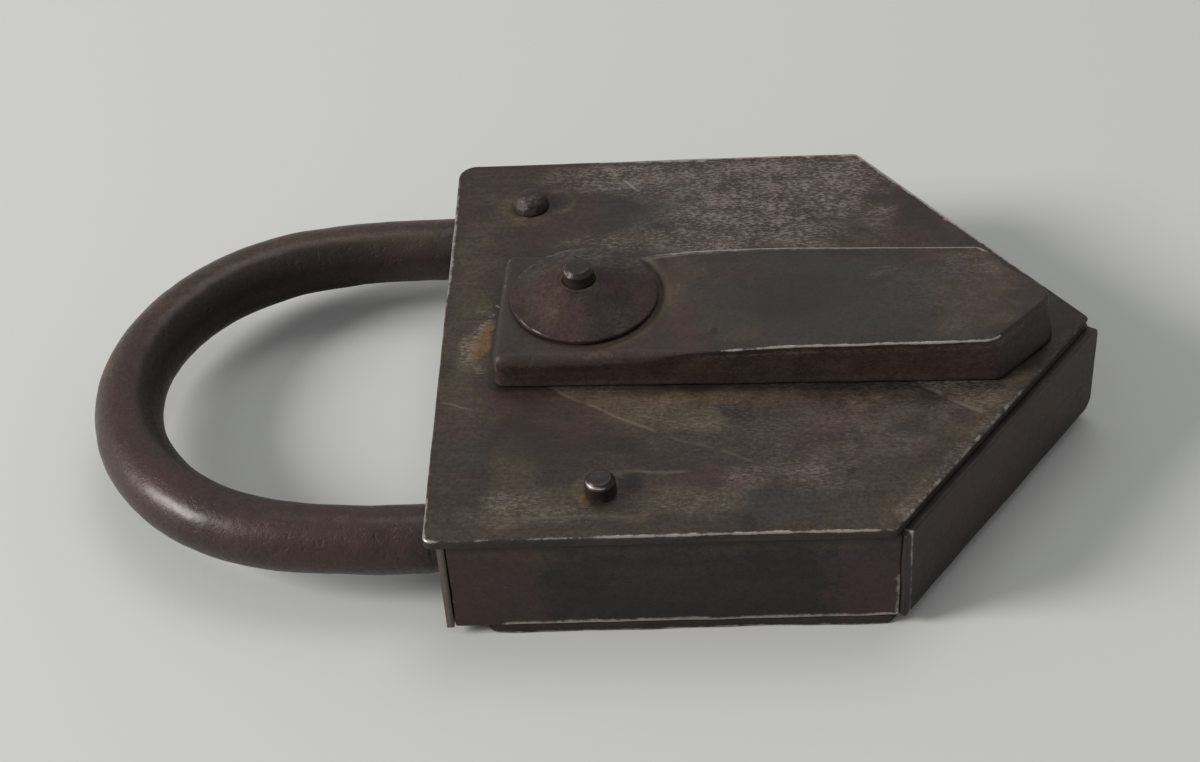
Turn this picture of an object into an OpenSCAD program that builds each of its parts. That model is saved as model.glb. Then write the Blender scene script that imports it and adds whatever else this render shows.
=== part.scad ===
// Forged iron padlock with a pentagonal plate case, a side-hinged shackle and a
// swinging keyhole cover. It lies on its back plate: +X runs from the shackle to the
// point, +Y from the stop rivet's side to the hinge rivet's side, +Z out of the front
// plate. Places inside the case are measured from the front plate's shackle-side edge
// and from the centre line. Millimetres.

/* [Case] */
// Width of the front plate
case_w = 90; // [75:1:110]
// Length of the straight sides of the front plate
straight_l = 67.4; // [56:0.2:82]
// Length of the point beyond the straight sides
point_l = 33.1; // [26:0.1:40]
// Thickness of the case over both plates
case_t = 20.2; // [18.4:0.1:26]
// Thickness of the front plate
front_t = 1.8; // [1.2:0.1:2.4]
// Thickness of the back plate
back_t = 1.8; // [1.2:0.1:2.4]
// Thickness of the side and point walls
wall_t = 2.4; // [1.6:0.1:3]
// Thickness of the wall that the shackle passes through
end_wall_t = 6.5; // [5:0.1:8]
// How far the front plate stands out over the end wall
plate_overhang = 1.95; // [1:0.05:3]
// How far the side walls lie inside the front plate's edge
side_inset = 0.4; // [0.2:0.1:1]
// How far the lower point wall stands out from the front plate's edge
point_proud = 1.3; // [0.6:0.1:1.6]

/* [Shackle] */
// Diameter of the shackle's round bar
bar_d = 10.5; // [8.6:0.1:12.6]
// Distance of each leg's centre line from the case's side edge
leg_inset = 10.4; // [9:0.1:13]
// Straight length of each leg outside the front plate
leg_out = 6.9; // [5:0.1:12]
// Length of the bow beyond the straight legs, to the bar's centre line
bow_l = 44; // [36:0.5:56]
// Angle that each flatter arc of the bow turns through
haunch_angle = 12; // [8:1:40]
// How far the shackle lies above the middle of the case
shackle_rise = 0.3; // [0:0.1:0.6]
// Angle through which the shackle opens
shackle_swing = 30; // [20:1:34]
// Length of solid leg beyond the bolt's notch
leg_tip = 3; // [2:0.5:6]
// Depth of the bolt's notch in the near leg
notch_depth = 4.6; // [4.2:0.1:5]

/* [Rivets] */
// Diameter of the hinge rivet
hinge_d = 5; // [4:0.1:6]
// Distance of the hinge rivet from the plate's shackle-side edge
hinge_x = 12.6; // [12.4:0.1:16]
// Distance of the hinge rivet from the case's side edge
hinge_inset = 11.8; // [11:0.1:14]
// Radius of the hinge rivet's hammered head
dome_r = 3.1; // [2.9:0.1:4]
// Height of the hinge rivet's hammered head
dome_h = 2.7; // [2:0.1:3]
// Diameter of the stop rivet
stop_d = 4.7; // [4:0.1:6]
// Height of the stop rivet above the front plate
stop_h = 2.9; // [2:0.1:3.5]
// Distance of the stop rivet from the case's side edge
stop_inset = 9.3; // [8:0.1:12]

/* [Keyhole cover] */
// Distance of the cover's pivot from the plate's shackle-side edge
pivot_x = 22; // [20:0.5:26]
// Distance of the cover's pivot from the centre line
pivot_y = 1.7; // [0:0.1:3]
// Diameter of the cover's pivot
pivot_d = 4.9; // [4:0.1:6]
// Angle of the cover to the case's centre line, point towards the stop rivet
cover_tilt = 2.6; // [0:0.1:4]
// Length of the cover from its pivot to its shoulder on the stop rivet's side
cover_l = 63.9; // [54:0.1:67]
// How much shorter the cover is to its other shoulder
cover_skew = 2.3; // [0:0.1:4]
// Length of the cover behind its pivot
cover_tail = 12.7; // [12.3:0.1:15]
// Length of the cover's point
cover_point = 10.3; // [8:0.1:12]
// Width of the cover at its tail
cover_w_tail = 26.2; // [24:0.1:30]
// Width of the cover at its shoulders
cover_w_end = 22.7; // [20:0.1:28]
// How far the pivot lies off the cover's own centre line
cover_offset = 1.75; // [0:0.05:3]
// Thickness of the cover at its pivot
cover_t = 5.7; // [4.5:0.1:7]
// Thickness of the cover at its shoulders
cover_t_end = 7.9; // [7.2:0.1:9.5]
// Thickness of the cover where its swell is nearly full
cover_t_swell = 7.4; // [6.2:0.1:7.4]
// Length over which the cover swells, from its pivot
cover_swell_l = 32; // [28:1:38]
// Diameter of the domed washer
washer_d = 23.1; // [19:0.1:24]
// Height of the domed washer
washer_h = 3.7; // [2.8:0.1:4.5]
// Thickness of the domed washer
washer_t = 1.6; // [1:0.1:2.2]
// How far the domed washer's rim is off its hole, towards the cover's point
washer_shift = 0.6; // [0:0.1:1]
// Height of the pivot above the domed washer
pivot_out = 2.4; // [1:0.1:3]

/* [Lock] */
// Distance of the keyhole from the plate's shackle-side edge
key_x = 52; // [46:0.5:60]
// Diameter of the keyhole's round end
keyhole_d = 8; // [6.6:0.1:10]
// Width of the keyhole's slot
keyslot_w = 5; // [4.6:0.1:6]
// Reach of the keyhole's slot from the key's post
key_reach = 13; // [11:0.5:15]
// Diameter of the key's post
post_d = 4; // [3:0.1:5]
// Width of the bolt along the case
bolt_w = 5.4; // [4.5:0.1:6.5]
// Height of the bolt
bolt_h = 6; // [5:0.1:7]
// Travel of the bolt
bolt_travel = 4.5; // [3.8:0.1:4.6]
// Room for the spring between the end wall and the bolt
spring_room = 3.15; // [2.6:0.05:4]
// Thickness of the bolt's leaf spring
spring_t = 0.8; // [0.5:0.1:1]
// Width of the bolt's tail arm
arm_w = 10; // [8:0.5:12]

/* [Hidden] */
$fn = 64;

// clearances
seat_gap = 0.05;    // between pieces of one body that are driven or butted together
hinge_gap = 0.075;  // round a shaft that something turns on, each side
slide_gap = 0.3;    // beside a piece that slides, and round the near leg
cover_gap = 0.1;    // under the keyhole cover
cut = 1;            // how far a cutting tool runs past a face
arc_steps = 8;      // flats in each rounded corner of an outline

// case
half_w = case_w / 2;
front_z = case_t - front_t;
room_h = front_z - back_t;
side_y = half_w - side_inset;
inner_y = side_y - wall_t;
edge_angle = atan2(half_w, point_l);
edge_l = norm([half_w, point_l]);
end_x = plate_overhang;
end_in_x = end_x + end_wall_t;
rebate_in = 1.1;    // how far behind the end wall's face the side walls start
rebate_x = end_x + rebate_in;
back_inset = 0.5;   // how far the back plate's edge lies inside the front plate's
back_lap = 0.95;    // how far the back plate runs under the end wall
back_x = end_in_x - back_lap;
point_wall_start = point_proud / tan(edge_angle);

// shackle
bar_r = bar_d / 2;
leg_y = half_w - leg_inset;
bar_z = case_t / 2 + shackle_rise;
throat_cut = 0.3;   // how much thinner the legs are inside the case
throat_r = bar_r - throat_cut;
bar_swell = 0.1;    // how much thicker each length of the bow is than the one before it
lap = 0.5;          // how far a thinner length of the bar runs into the next
arc_gap = (bow_l - leg_y) / (cos(haunch_angle) + sin(haunch_angle) - 1);
crown_r = bow_l - arc_gap * sin(haunch_angle);
haunch_r = leg_y + arc_gap * cos(haunch_angle);
hinge_y = half_w - hinge_inset;
eye_wall = 3.5;     // metal round the hinge rivet
eye_r = hinge_d / 2 + eye_wall;
eye_flat = 0.75;    // how far each face of the eye is flattened
eye_h = bar_d - 2 * eye_flat;
collar_wall = 2;    // width of the rings over and under the eye
collar_r = hinge_d / 2 + collar_wall;
neck_l = collar_r + 0.9;  // from the rivet to where the far leg is round again
leg_slack = 0.4;    // room beside the near leg, away from the bolt

// the near leg swings in this far before it has left the end wall
leg_ease = pow(hinge_x - end_x, 2) / (2 * (hinge_y + leg_y)) + 0.1;

// far side wall: it starts just behind the open shackle's far leg
leg_edge = leg_y - hinge_y + bar_r;
leg_cross = (inner_y - hinge_y - leg_edge * cos(shackle_swing)) / sin(shackle_swing);
far_wall_x = hinge_x + leg_edge * sin(shackle_swing) - leg_cross * cos(shackle_swing)
    + (slide_gap + seat_gap) / sin(shackle_swing) + seat_gap;

// bolt
bolt_x = end_in_x + spring_room + bolt_w / 2;
notch_gap = 0.5;    // room on each side of the bolt's nose
notch_w = bolt_w + 2 * notch_gap;
leg_end_x = bolt_x + notch_w / 2 + leg_tip;
nose_gap = 0.45;    // from the drawn-back nose to the near leg
nose_y = -leg_y + bar_r + nose_gap;
bolt_back_y = 18;   // the bolt's other end
arm_short = 8;      // from the arm's end to the key's post
arm_end_x = key_x - arm_short;
talon_d = 4.6;      // depth and width of the slot that the key's bit moves
talon_w = 5;
guide_t = 4;        // the guides' thickness, and their walls beside and over the bolt
guide_wall = 2.4;
guide_top = 2.6;
near_guide_y = -23;
far_guide_y = 11;
arm_guide_x = (bolt_x + arm_end_x) / 2;
tenon_r = 1.3;      // the guides' tenons, and their distance from the guide's middle
tenon_in = 3;
arm_window = arm_w + bolt_travel + 2 * slide_gap;
arm_tenon = arm_window / 2 - 1;
spring_z = bar_z;
spring_w = 5;       // width of the leaf spring
spring_top_y = 7;   // its riveted end
spring_foot = 8;    // length of its flat foot
spring_bow = 18;    // length of its bowed part
spring_rivet_y = spring_top_y - spring_foot / 2;
spring_rivet_r = 1;
spring_hole_l = 3;  // depth of that rivet's hole in the end wall
ward_t = 1;         // the wards' thickness and height, and their inner radii
ward_h = 3.5;
lower_ward_r = 4.4;
upper_ward_r = 6.6;

// stop rivet and cover
sink_share = 0.6;   // share of the back plate's thickness that a rivet's tail is sunk in
sink_out = 0.9;     // how far the tail spreads there
stop_collar_wall = 2.05;
stop_collar_r = stop_d / 2 + stop_collar_wall;
stop_gap = 0.6;     // between the near leg's end and the collar that stops it
stop_x = leg_end_x + stop_gap + stop_collar_r;
stop_y = -(half_w - stop_inset);
cover_z = case_t + cover_gap;
washer_z = cover_z + cover_t;
pivot_top_z = washer_z + washer_h + pivot_out;
burr_wall = 2.5;    // the burr's width round the pivot, and its thickness
burr_r = pivot_d / 2 + burr_wall;
burr_t = 1.6;
peen_l = 0.8;       // how far the pivot's tail stands out under the burr
post_gap = 0.5;     // between the key's post and the front plate
post_top_z = front_z - post_gap;

// the frame's origin stands under the middle of the whole padlock
back_reach = leg_out + bow_l + bar_r + 2 * bar_swell;
point_end = [point_wall_start + edge_l, -point_proud];
point_end_x = straight_l + point_end[0] * cos(edge_angle) - point_end[1] * sin(edge_angle);
middle_x = (point_end_x - back_reach) / 2;

// ---------- shared shapes ----------

function unit(v) = v / norm(v);

// Points of the arc of radius r that rounds the corner p between a and b.
function corner_arc(a, p, b, r) =
    r <= 0 ? [p] :
    let (
        u = unit(a - p), v = unit(b - p),
        half = acos(u * v) / 2,
        c = p + unit(u + v) * r / sin(half),
        s = p + u * r / tan(half) - c,
        e = p + v * r / tan(half) - c,
        from = atan2(s[1], s[0]),
        turn = (atan2(e[1], e[0]) - from + 540) % 360 - 180
    )
    [for (i = [0:arc_steps]) let (a = from + turn * i / arc_steps) c + r * [cos(a), sin(a)]];

// An outline whose corners are rounded by their own radii.
function rounded(points, radii) =
    let (n = len(points))
    [
        for (i = [0:n - 1])
            each corner_arc(points[(i + n - 1) % n], points[i], points[(i + 1) % n], radii[i])
    ];

// Pentagon of the case, starting at x, with its other edges moved in by inset.
function case_outline(x, inset) =
    let (
        run = inset * (1 - cos(edge_angle)) / sin(edge_angle),
        tip = inset / sin(edge_angle)
    )
    [
        [x, -half_w + inset], [straight_l - run, -half_w + inset],
        [straight_l + point_l - tip, 0],
        [straight_l - run, half_w - inset], [x, half_w - inset]
    ];

module in_frame() {
    translate([-middle_x, 0, 0]) children();
}

// A box from one corner to the other.
module block(low, high) {
    translate(low) cube(high - low);
}

// Carries its children to the edge of the point, on the stop rivet's side (-1) or the
// hinge rivet's side (1): X along the edge, Y inwards.
module at_point_edge(side) {
    mirror([0, side > 0 ? 1 : 0, 0])
        translate([straight_l, -half_w, 0])
            rotate(edge_angle) children();
}

// All that lies on the near point wall's place and outside it, for cutting its neighbours.
module near_point_cutter() {
    at_point_edge(-1)
        block(
            [point_wall_start - seat_gap, -half_w, 0],
            [2 * edge_l, wall_t - point_proud + seat_gap, case_t]
        );
}

// All that lies on the far point wall's place and outside it.
module far_point_cutter() {
    at_point_edge(1)
        block([-edge_l, -half_w, 0], [2 * edge_l, wall_t + side_inset + seat_gap, case_t]);
}

// Shank and flush countersunk tail of a rivet that starts at the back face.
module rivet_shank(d, top) {
    cylinder(h = top, d = d);
    cylinder(h = back_t * sink_share, r1 = d / 2 + sink_out, r2 = d / 2);
}

// Hole through the back plate for such a rivet.
module rivet_hole(d) {
    translate([0, 0, -cut]) cylinder(h = back_t + 2 * cut, r = d / 2 + seat_gap);
    translate([0, 0, -seat_gap])
        cylinder(h = back_t * sink_share + seat_gap, r1 = d / 2 + sink_out + 2 * seat_gap, r2 = d / 2);
}

// A ring between two radii.
module ring(h, r_out, r_in) {
    difference() {
        cylinder(h = h, r = r_out);
        translate([0, 0, -cut]) cylinder(h = h + 2 * cut, r = r_in);
    }
}

// A guide for the bolt: a block on the back plate with a window that is open along Y,
// held by tenons that are peened through the plate.
module bolt_guide(window_w, tenon_x) {
    out = window_w / 2 + guide_wall;
    low = bar_z - bolt_h / 2 - slide_gap;
    high = bar_z + bolt_h / 2 + slide_gap;
    difference() {
        block([-out, -guide_t / 2, back_t], [out, guide_t / 2, high + guide_top]);
        block([-window_w / 2, -guide_t, low], [window_w / 2, guide_t, high]);
    }
    for (side = [-1, 1])
        translate([side * tenon_x, 0, 0]) cylinder(h = back_t + cut, r = tenon_r);
}

// Places of the guides, for the guides themselves and for the plate's tenon holes.
module at_near_guide() { translate([bolt_x, near_guide_y, 0]) children(); }
module at_far_guide() { translate([bolt_x, far_guide_y, 0]) children(); }
module at_arm_guide() { translate([arm_guide_x, 0, 0]) rotate(90) children(); }

module tenon_holes(tenon_x) {
    for (side = [-1, 1])
        translate([side * tenon_x, 0, -cut]) cylinder(h = back_t + 2 * cut, r = tenon_r + seat_gap);
}

// ---------- case ----------

module front_plate() {
    color([0.29, 0.22, 0.17])
    in_frame()
        difference() {
            translate([0, 0, front_z])
                linear_extrude(front_t)
                    polygon(rounded(case_outline(0, 0), [1.3, 0.6, 1, 1.5, 3]));
            translate([hinge_x, hinge_y, 0]) cylinder(h = case_t + cut, r = hinge_d / 2 + seat_gap);
            translate([stop_x, stop_y, 0]) cylinder(h = case_t + cut, r = stop_d / 2 + seat_gap);
            translate([pivot_x, pivot_y, 0]) cylinder(h = case_t + cut, r = pivot_d / 2 + seat_gap);
            translate([key_x, 0, 0]) cylinder(h = case_t + cut, d = keyhole_d);
            block([key_x, -keyslot_w / 2, 0], [key_x + key_reach, keyslot_w / 2, case_t + cut]);
        }
}

module back_plate() {
    color([0.22, 0.16, 0.13])
    in_frame()
        difference() {
            linear_extrude(back_t)
                polygon(rounded(case_outline(back_x, back_inset), [2, 0.6, 1, 0.6, 2]));
            translate([hinge_x, hinge_y, 0]) rivet_hole(hinge_d);
            translate([stop_x, stop_y, 0]) rivet_hole(stop_d);
            translate([key_x, 0, 0]) rivet_hole(post_d);
            at_near_guide() tenon_holes(tenon_in);
            at_far_guide() tenon_holes(tenon_in);
            at_arm_guide() tenon_holes(arm_tenon);
        }
}

// The thick wall at the shackle's end. It stops short of the far leg, which swings.
module end_wall() {
    stop_short = 1.75;
    color([0.2, 0.14, 0.12])
    in_frame()
        difference() {
            block([end_x, -side_y, back_t], [end_in_x, leg_y - bar_r - stop_short, front_z]);
            block([rebate_x, -side_y - cut, 0], [end_in_x + cut, -inner_y, case_t]);
            for (shift = [-leg_slack, leg_ease])
                translate([0, -leg_y + shift, bar_z]) rotate([0, 90, 0])
                    cylinder(h = 2 * end_in_x, r = bar_r + slide_gap);
            block(
                [0, -leg_y - leg_slack, bar_z - bar_r - slide_gap],
                [2 * end_in_x, -leg_y + leg_ease, bar_z + bar_r + slide_gap]
            );
            translate([end_in_x - spring_hole_l, spring_rivet_y, spring_z]) rotate([0, 90, 0])
                cylinder(h = spring_hole_l + cut, r = spring_rivet_r + seat_gap);
        }
}

module near_side_wall() {
    color([0.17, 0.12, 0.1])
    in_frame()
        difference() {
            block(
                [rebate_x + seat_gap, -side_y, back_t],
                [straight_l + point_l, -inner_y - seat_gap, front_z]
            );
            near_point_cutter();
        }
}

module far_side_wall() {
    color([0.2, 0.14, 0.12])
    in_frame()
        difference() {
            block([far_wall_x, inner_y, back_t], [straight_l + point_l, side_y, front_z]);
            far_point_cutter();
        }
}

module near_point_wall() {
    color([0.22, 0.17, 0.14])
    in_frame()
        at_point_edge(-1)
            block(
                [point_wall_start, -point_proud, back_t],
                [point_wall_start + edge_l, wall_t - point_proud, front_z]
            );
}

module far_point_wall() {
    color([0.2, 0.15, 0.12])
    in_frame()
        difference() {
            intersection() {
                at_point_edge(1)
                    block([-wall_t, side_inset, back_t], [edge_l + wall_t, side_inset + wall_t, front_z]);
                block([0, -half_w, 0], [straight_l + point_l, side_y, case_t]);
            }
            near_point_cutter();
        }
}

// ---------- shackle ----------

// An arc of the bow: a tube of radius r, turned about the centre at c, from one angle on.
module bow_arc(c, turn_r, from, angle, r) {
    translate([c[0], c[1], bar_z]) rotate(from)
        rotate_extrude(angle = angle) translate([turn_r, 0]) circle(r = r);
}

module leg(side, from, to, r) {
    translate([from, side * leg_y, bar_z]) rotate([0, 90, 0]) cylinder(h = to - from, r = r);
}

// The bar swells a little from its legs to its crown, in steps of bar_swell, and each
// thinner length runs into the thicker one beside it.
module shackle() {
    haunch_lap = lap / haunch_r * 180 / PI;
    color([0.27, 0.17, 0.14])
    in_frame() {
        bow_arc(
            [-leg_out - bow_l + crown_r, 0], crown_r,
            90 + haunch_angle, 180 - 2 * haunch_angle, bar_r + 2 * bar_swell
        );
        bow_arc([-leg_out, leg_y - haunch_r], haunch_r, 90, haunch_angle + haunch_lap, bar_r + bar_swell);
        bow_arc(
            [-leg_out, haunch_r - leg_y], haunch_r,
            270 - haunch_angle - haunch_lap, haunch_angle + haunch_lap, bar_r + bar_swell
        );
        // near leg, a little thinner where it enters the case, with the bolt's notch
        leg(-1, -leg_out - lap, 0, bar_r);
        difference() {
            leg(-1, -lap, leg_end_x, throat_r);
            block(
                [bolt_x - notch_w / 2, -leg_y + bar_r - notch_depth, 0],
                [bolt_x + notch_w / 2, 0, case_t]
            );
        }
        // far leg, flattened into an eye round the hinge rivet
        difference() {
            union() {
                leg(1, -leg_out - lap, hinge_x - neck_l, bar_r);
                intersection() {
                    leg(1, hinge_x - neck_l - lap, hinge_x, throat_r);
                    block([0, 0, bar_z - eye_h / 2], [hinge_x, half_w, bar_z + eye_h / 2]);
                }
                translate([hinge_x, hinge_y, bar_z - eye_h / 2]) cylinder(h = eye_h, r = eye_r);
            }
            translate([hinge_x, hinge_y, 0]) cylinder(h = case_t, r = hinge_d / 2 + hinge_gap);
        }
    }
}

// ---------- rivets and collars ----------

module hinge_rivet() {
    cap_r = (pow(dome_r, 2) + pow(dome_h, 2)) / (2 * dome_h);
    color([0.3, 0.2, 0.16])
    in_frame()
        translate([hinge_x, hinge_y, 0]) {
            rivet_shank(hinge_d, case_t);
            intersection() {
                translate([0, 0, case_t + dome_h - cap_r]) sphere(r = cap_r);
                translate([0, 0, case_t]) cylinder(h = dome_h + cut, r = dome_r + cut);
            }
        }
}

module lower_eye_collar() {
    color([0.3, 0.25, 0.22])
    in_frame()
        translate([hinge_x, hinge_y, back_t])
            ring(bar_z - eye_h / 2 - slide_gap - back_t, collar_r, hinge_d / 2 + seat_gap);
}

module upper_eye_collar() {
    low = bar_z + eye_h / 2 + slide_gap;
    color([0.3, 0.25, 0.22])
    in_frame()
        translate([hinge_x, hinge_y, low]) ring(front_z - low, collar_r, hinge_d / 2 + seat_gap);
}

module stop_rivet() {
    bevel = 0.7;
    color([0.33, 0.28, 0.25])
    in_frame()
        translate([stop_x, stop_y, 0]) {
            rivet_shank(stop_d, case_t + stop_h - bevel);
            translate([0, 0, case_t + stop_h - bevel])
                cylinder(h = bevel, r1 = stop_d / 2, r2 = stop_d / 2 - bevel);
        }
}

module stop_collar() {
    color([0.3, 0.25, 0.22])
    in_frame()
        translate([stop_x, stop_y, back_t]) ring(room_h, stop_collar_r, stop_d / 2 + seat_gap);
}

// ---------- keyhole cover ----------

// Carries its children to the cover's own frame: pivot at the origin, X along the bar.
module at_pivot(z) {
    translate([pivot_x, pivot_y, z]) rotate(-cover_tilt) children();
}

module cover_bar() {
    tail = cover_w_tail / 2;
    end = cover_w_end / 2;
    seat_room = 1;  // the washer's seat is a round flat, this much wider than the washer
    outline = [
        [-cover_tail, -tail - cover_offset], [cover_l, -end - cover_offset],
        [cover_l + cover_point, -cover_offset],
        [cover_l - cover_skew, end - cover_offset], [-cover_tail, tail - cover_offset]
    ];
    side_view = [
        [-cover_tail - cut, 0], [-cover_tail - cut, cover_t], [0, cover_t],
        [cover_swell_l, cover_t_swell], [cover_l, cover_t_end],
        [cover_l + cover_point + cut, cover_t_end], [cover_l + cover_point + cut, 0]
    ];
    color([0.24, 0.19, 0.16])
    in_frame()
        at_pivot(cover_z)
            difference() {
                intersection() {
                    linear_extrude(cover_t_end + cut)
                        polygon(rounded(outline, [1.5, 2, 4, 2, 1.5]));
                    translate([0, case_w / 2, 0]) rotate([90, 0, 0])
                        linear_extrude(case_w) polygon(side_view);
                }
                translate([0, 0, -cut])
                    cylinder(h = cover_t_end + 2 * cut, r = pivot_d / 2 + hinge_gap);
                translate([washer_shift, 0, cover_t])
                    cylinder(h = cover_t_end, r = washer_d / 2 + seat_room);
            }
}

module cover_washer() {
    rim = 0.8;
    hole_r = pivot_d / 2 + hinge_gap;
    crown = hole_r + 1;
    crown_drop = 0.1;
    color([0.3, 0.21, 0.19])
    in_frame()
        at_pivot(washer_z)
            difference() {
                translate([washer_shift, 0, 0])
                    rotate_extrude()
                        polygon([
                            [0, washer_h - washer_t], [hole_r, washer_h - washer_t],
                            [washer_d / 2 - washer_t, 0], [washer_d / 2, 0], [washer_d / 2, rim],
                            [crown, washer_h - crown_drop], [hole_r, washer_h], [0, washer_h]
                        ]);
                cylinder(h = washer_h + cut, r = hole_r);
            }
}

module cover_pivot() {
    bevel = 0.6;
    foot_z = front_z - burr_t - peen_l;
    color([0.3, 0.22, 0.2])
    in_frame()
        translate([pivot_x, pivot_y, foot_z]) {
            cylinder(h = pivot_top_z - bevel - foot_z, d = pivot_d);
            translate([0, 0, pivot_top_z - bevel - foot_z])
                cylinder(h = bevel, r1 = pivot_d / 2, r2 = pivot_d / 2 - bevel);
        }
}

module pivot_burr() {
    color([0.3, 0.25, 0.22])
    in_frame()
        translate([pivot_x, pivot_y, front_z - burr_t]) ring(burr_t, burr_r, pivot_d / 2 + seat_gap);
}

// ---------- lock ----------

// The bolt lies drawn back, so that the closed shackle can open.
module bolt() {
    talon_y = bolt_travel / 2;
    low_z = bar_z - bolt_h / 2;
    high_z = bar_z + bolt_h / 2;
    color([0.34, 0.31, 0.29])
    in_frame()
        difference() {
            union() {
                block([bolt_x - bolt_w / 2, nose_y, low_z], [bolt_x + bolt_w / 2, bolt_back_y, high_z]);
                block([bolt_x, talon_y - arm_w / 2, low_z], [arm_end_x, talon_y + arm_w / 2, high_z]);
            }
            block([arm_end_x - talon_d, talon_y - talon_w / 2, 0], [key_x, talon_y + talon_w / 2, case_t]);
        }
}

module near_bolt_guide() {
    color([0.31, 0.27, 0.24])
    in_frame() at_near_guide() bolt_guide(bolt_w + 2 * slide_gap, tenon_in);
}

module far_bolt_guide() {
    color([0.31, 0.27, 0.24])
    in_frame() at_far_guide() bolt_guide(bolt_w + 2 * slide_gap, tenon_in);
}

module arm_guide() {
    color([0.31, 0.27, 0.24])
    in_frame() at_arm_guide() bolt_guide(arm_window, arm_tenon);
}

// A bowed leaf: its foot is riveted to the end wall and its belly rubs on the bolt.
module bolt_spring() {
    rise = spring_room - slide_gap - seat_gap - spring_t;
    steps = 24;
    bow_top = spring_top_y - spring_foot;
    curve = [
        for (i = [0:steps])
            [rise * pow(sin(180 * i / steps), 2), bow_top - spring_bow * i / steps]
    ];
    inner = [[0, spring_top_y], each curve];
    outer = [for (i = [len(inner) - 1:-1:0]) inner[i] + [spring_t, 0]];
    color([0.36, 0.34, 0.33])
    in_frame()
        difference() {
            translate([end_in_x + seat_gap, 0, spring_z - spring_w / 2])
                linear_extrude(spring_w) polygon(concat(inner, outer));
            translate([end_in_x - cut, spring_rivet_y, spring_z]) rotate([0, 90, 0])
                cylinder(h = spring_room, r = spring_rivet_r + seat_gap);
        }
}

module spring_rivet() {
    tail = spring_hole_l - 0.2;
    head_z = 2 * seat_gap + spring_t;
    color([0.33, 0.3, 0.28])
    in_frame()
        translate([end_in_x, spring_rivet_y, spring_z]) rotate([0, 90, 0]) {
            translate([0, 0, -tail]) cylinder(h = tail + head_z, r = spring_rivet_r);
            translate([0, 0, head_z])
                cylinder(h = 1, r1 = spring_rivet_r + 0.9, r2 = spring_rivet_r + 0.2);
        }
}

module key_post() {
    color([0.33, 0.3, 0.28])
    in_frame() translate([key_x, 0, 0]) rivet_shank(post_d, post_top_z);
}

// A ward: most of a ring round the post, open where the key's bit goes in.
module ward(z, r_in) {
    open = 40;
    translate([key_x, 0, z]) rotate(open)
        rotate_extrude(angle = 360 - 2 * open) translate([r_in, 0]) square([ward_t, ward_h]);
}

module lower_ward() {
    color([0.33, 0.3, 0.28])
    in_frame() ward(back_t, lower_ward_r);
}

module upper_ward() {
    color([0.33, 0.3, 0.28])
    in_frame() ward(front_z - ward_h, upper_ward_r);
}

front_plate();
back_plate();
end_wall();
near_side_wall();
far_side_wall();
near_point_wall();
far_point_wall();
shackle();
hinge_rivet();
lower_eye_collar();
upper_eye_collar();
stop_rivet();
stop_collar();
cover_bar();
cover_washer();
cover_pivot();
pivot_burr();
bolt();
near_bolt_guide();
far_bolt_guide();
arm_guide();
bolt_spring();
spring_rivet();
key_post();
lower_ward();
upper_ward();
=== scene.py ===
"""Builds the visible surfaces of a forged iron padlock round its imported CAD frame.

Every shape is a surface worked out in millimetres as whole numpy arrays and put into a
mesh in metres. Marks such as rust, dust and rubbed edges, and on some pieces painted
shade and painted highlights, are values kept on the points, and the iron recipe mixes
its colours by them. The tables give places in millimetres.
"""

import math

import bpy
import numpy as np
from bpy.props import FloatProperty, FloatVectorProperty, PointerProperty
from mathutils import Matrix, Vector
from mathutils.geometry import convex_hull_2d


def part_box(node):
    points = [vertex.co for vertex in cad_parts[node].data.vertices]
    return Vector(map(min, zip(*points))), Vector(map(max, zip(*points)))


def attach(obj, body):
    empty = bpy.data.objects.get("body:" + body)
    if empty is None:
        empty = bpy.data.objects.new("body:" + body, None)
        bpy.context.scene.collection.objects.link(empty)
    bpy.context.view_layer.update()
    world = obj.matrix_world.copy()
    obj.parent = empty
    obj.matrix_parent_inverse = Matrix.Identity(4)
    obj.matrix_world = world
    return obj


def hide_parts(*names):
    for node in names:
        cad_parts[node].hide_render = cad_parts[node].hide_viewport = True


bl_info = {
    "name": "Forged padlock",
    "version": (1, 0, 0),
    "blender": (4, 5, 0),
    "location": "3D View > Sidebar > Padlock",
    "description": "Makes the rusty plates, shackle, cover and rivets of a forged padlock",
    "category": "Object",
}

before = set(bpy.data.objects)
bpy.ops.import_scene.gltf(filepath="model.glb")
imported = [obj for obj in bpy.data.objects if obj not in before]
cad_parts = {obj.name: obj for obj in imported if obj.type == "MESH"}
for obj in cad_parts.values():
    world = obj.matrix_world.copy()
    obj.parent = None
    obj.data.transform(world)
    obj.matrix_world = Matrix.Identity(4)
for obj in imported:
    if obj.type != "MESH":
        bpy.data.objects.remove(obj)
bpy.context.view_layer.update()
MM = 0.001
QUARTER = math.pi / 2
OUT_OF_REACH = 99.0  # a distance past the reach of any rubbing


def srgb(red, green, blue):
    """A colour written as 0 to 255 display values, as the linear values a shader takes."""
    c = np.array([red, green, blue]) / 255
    return tuple(np.where(c <= 0.04045, c / 12.92, ((c + 0.055) / 1.055) ** 2.4))


# ---------- places, in millimetres ----------


def box_mm(node):
    """Lowest and highest corner of a CAD node in millimetres."""
    low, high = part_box(node)
    return np.array(low) / MM, np.array(high) / MM


def middle_mm(node):
    """Middle of a CAD node in plan, in millimetres."""
    low, high = box_mm(node)
    return ((low + high) / 2)[:2]


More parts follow.
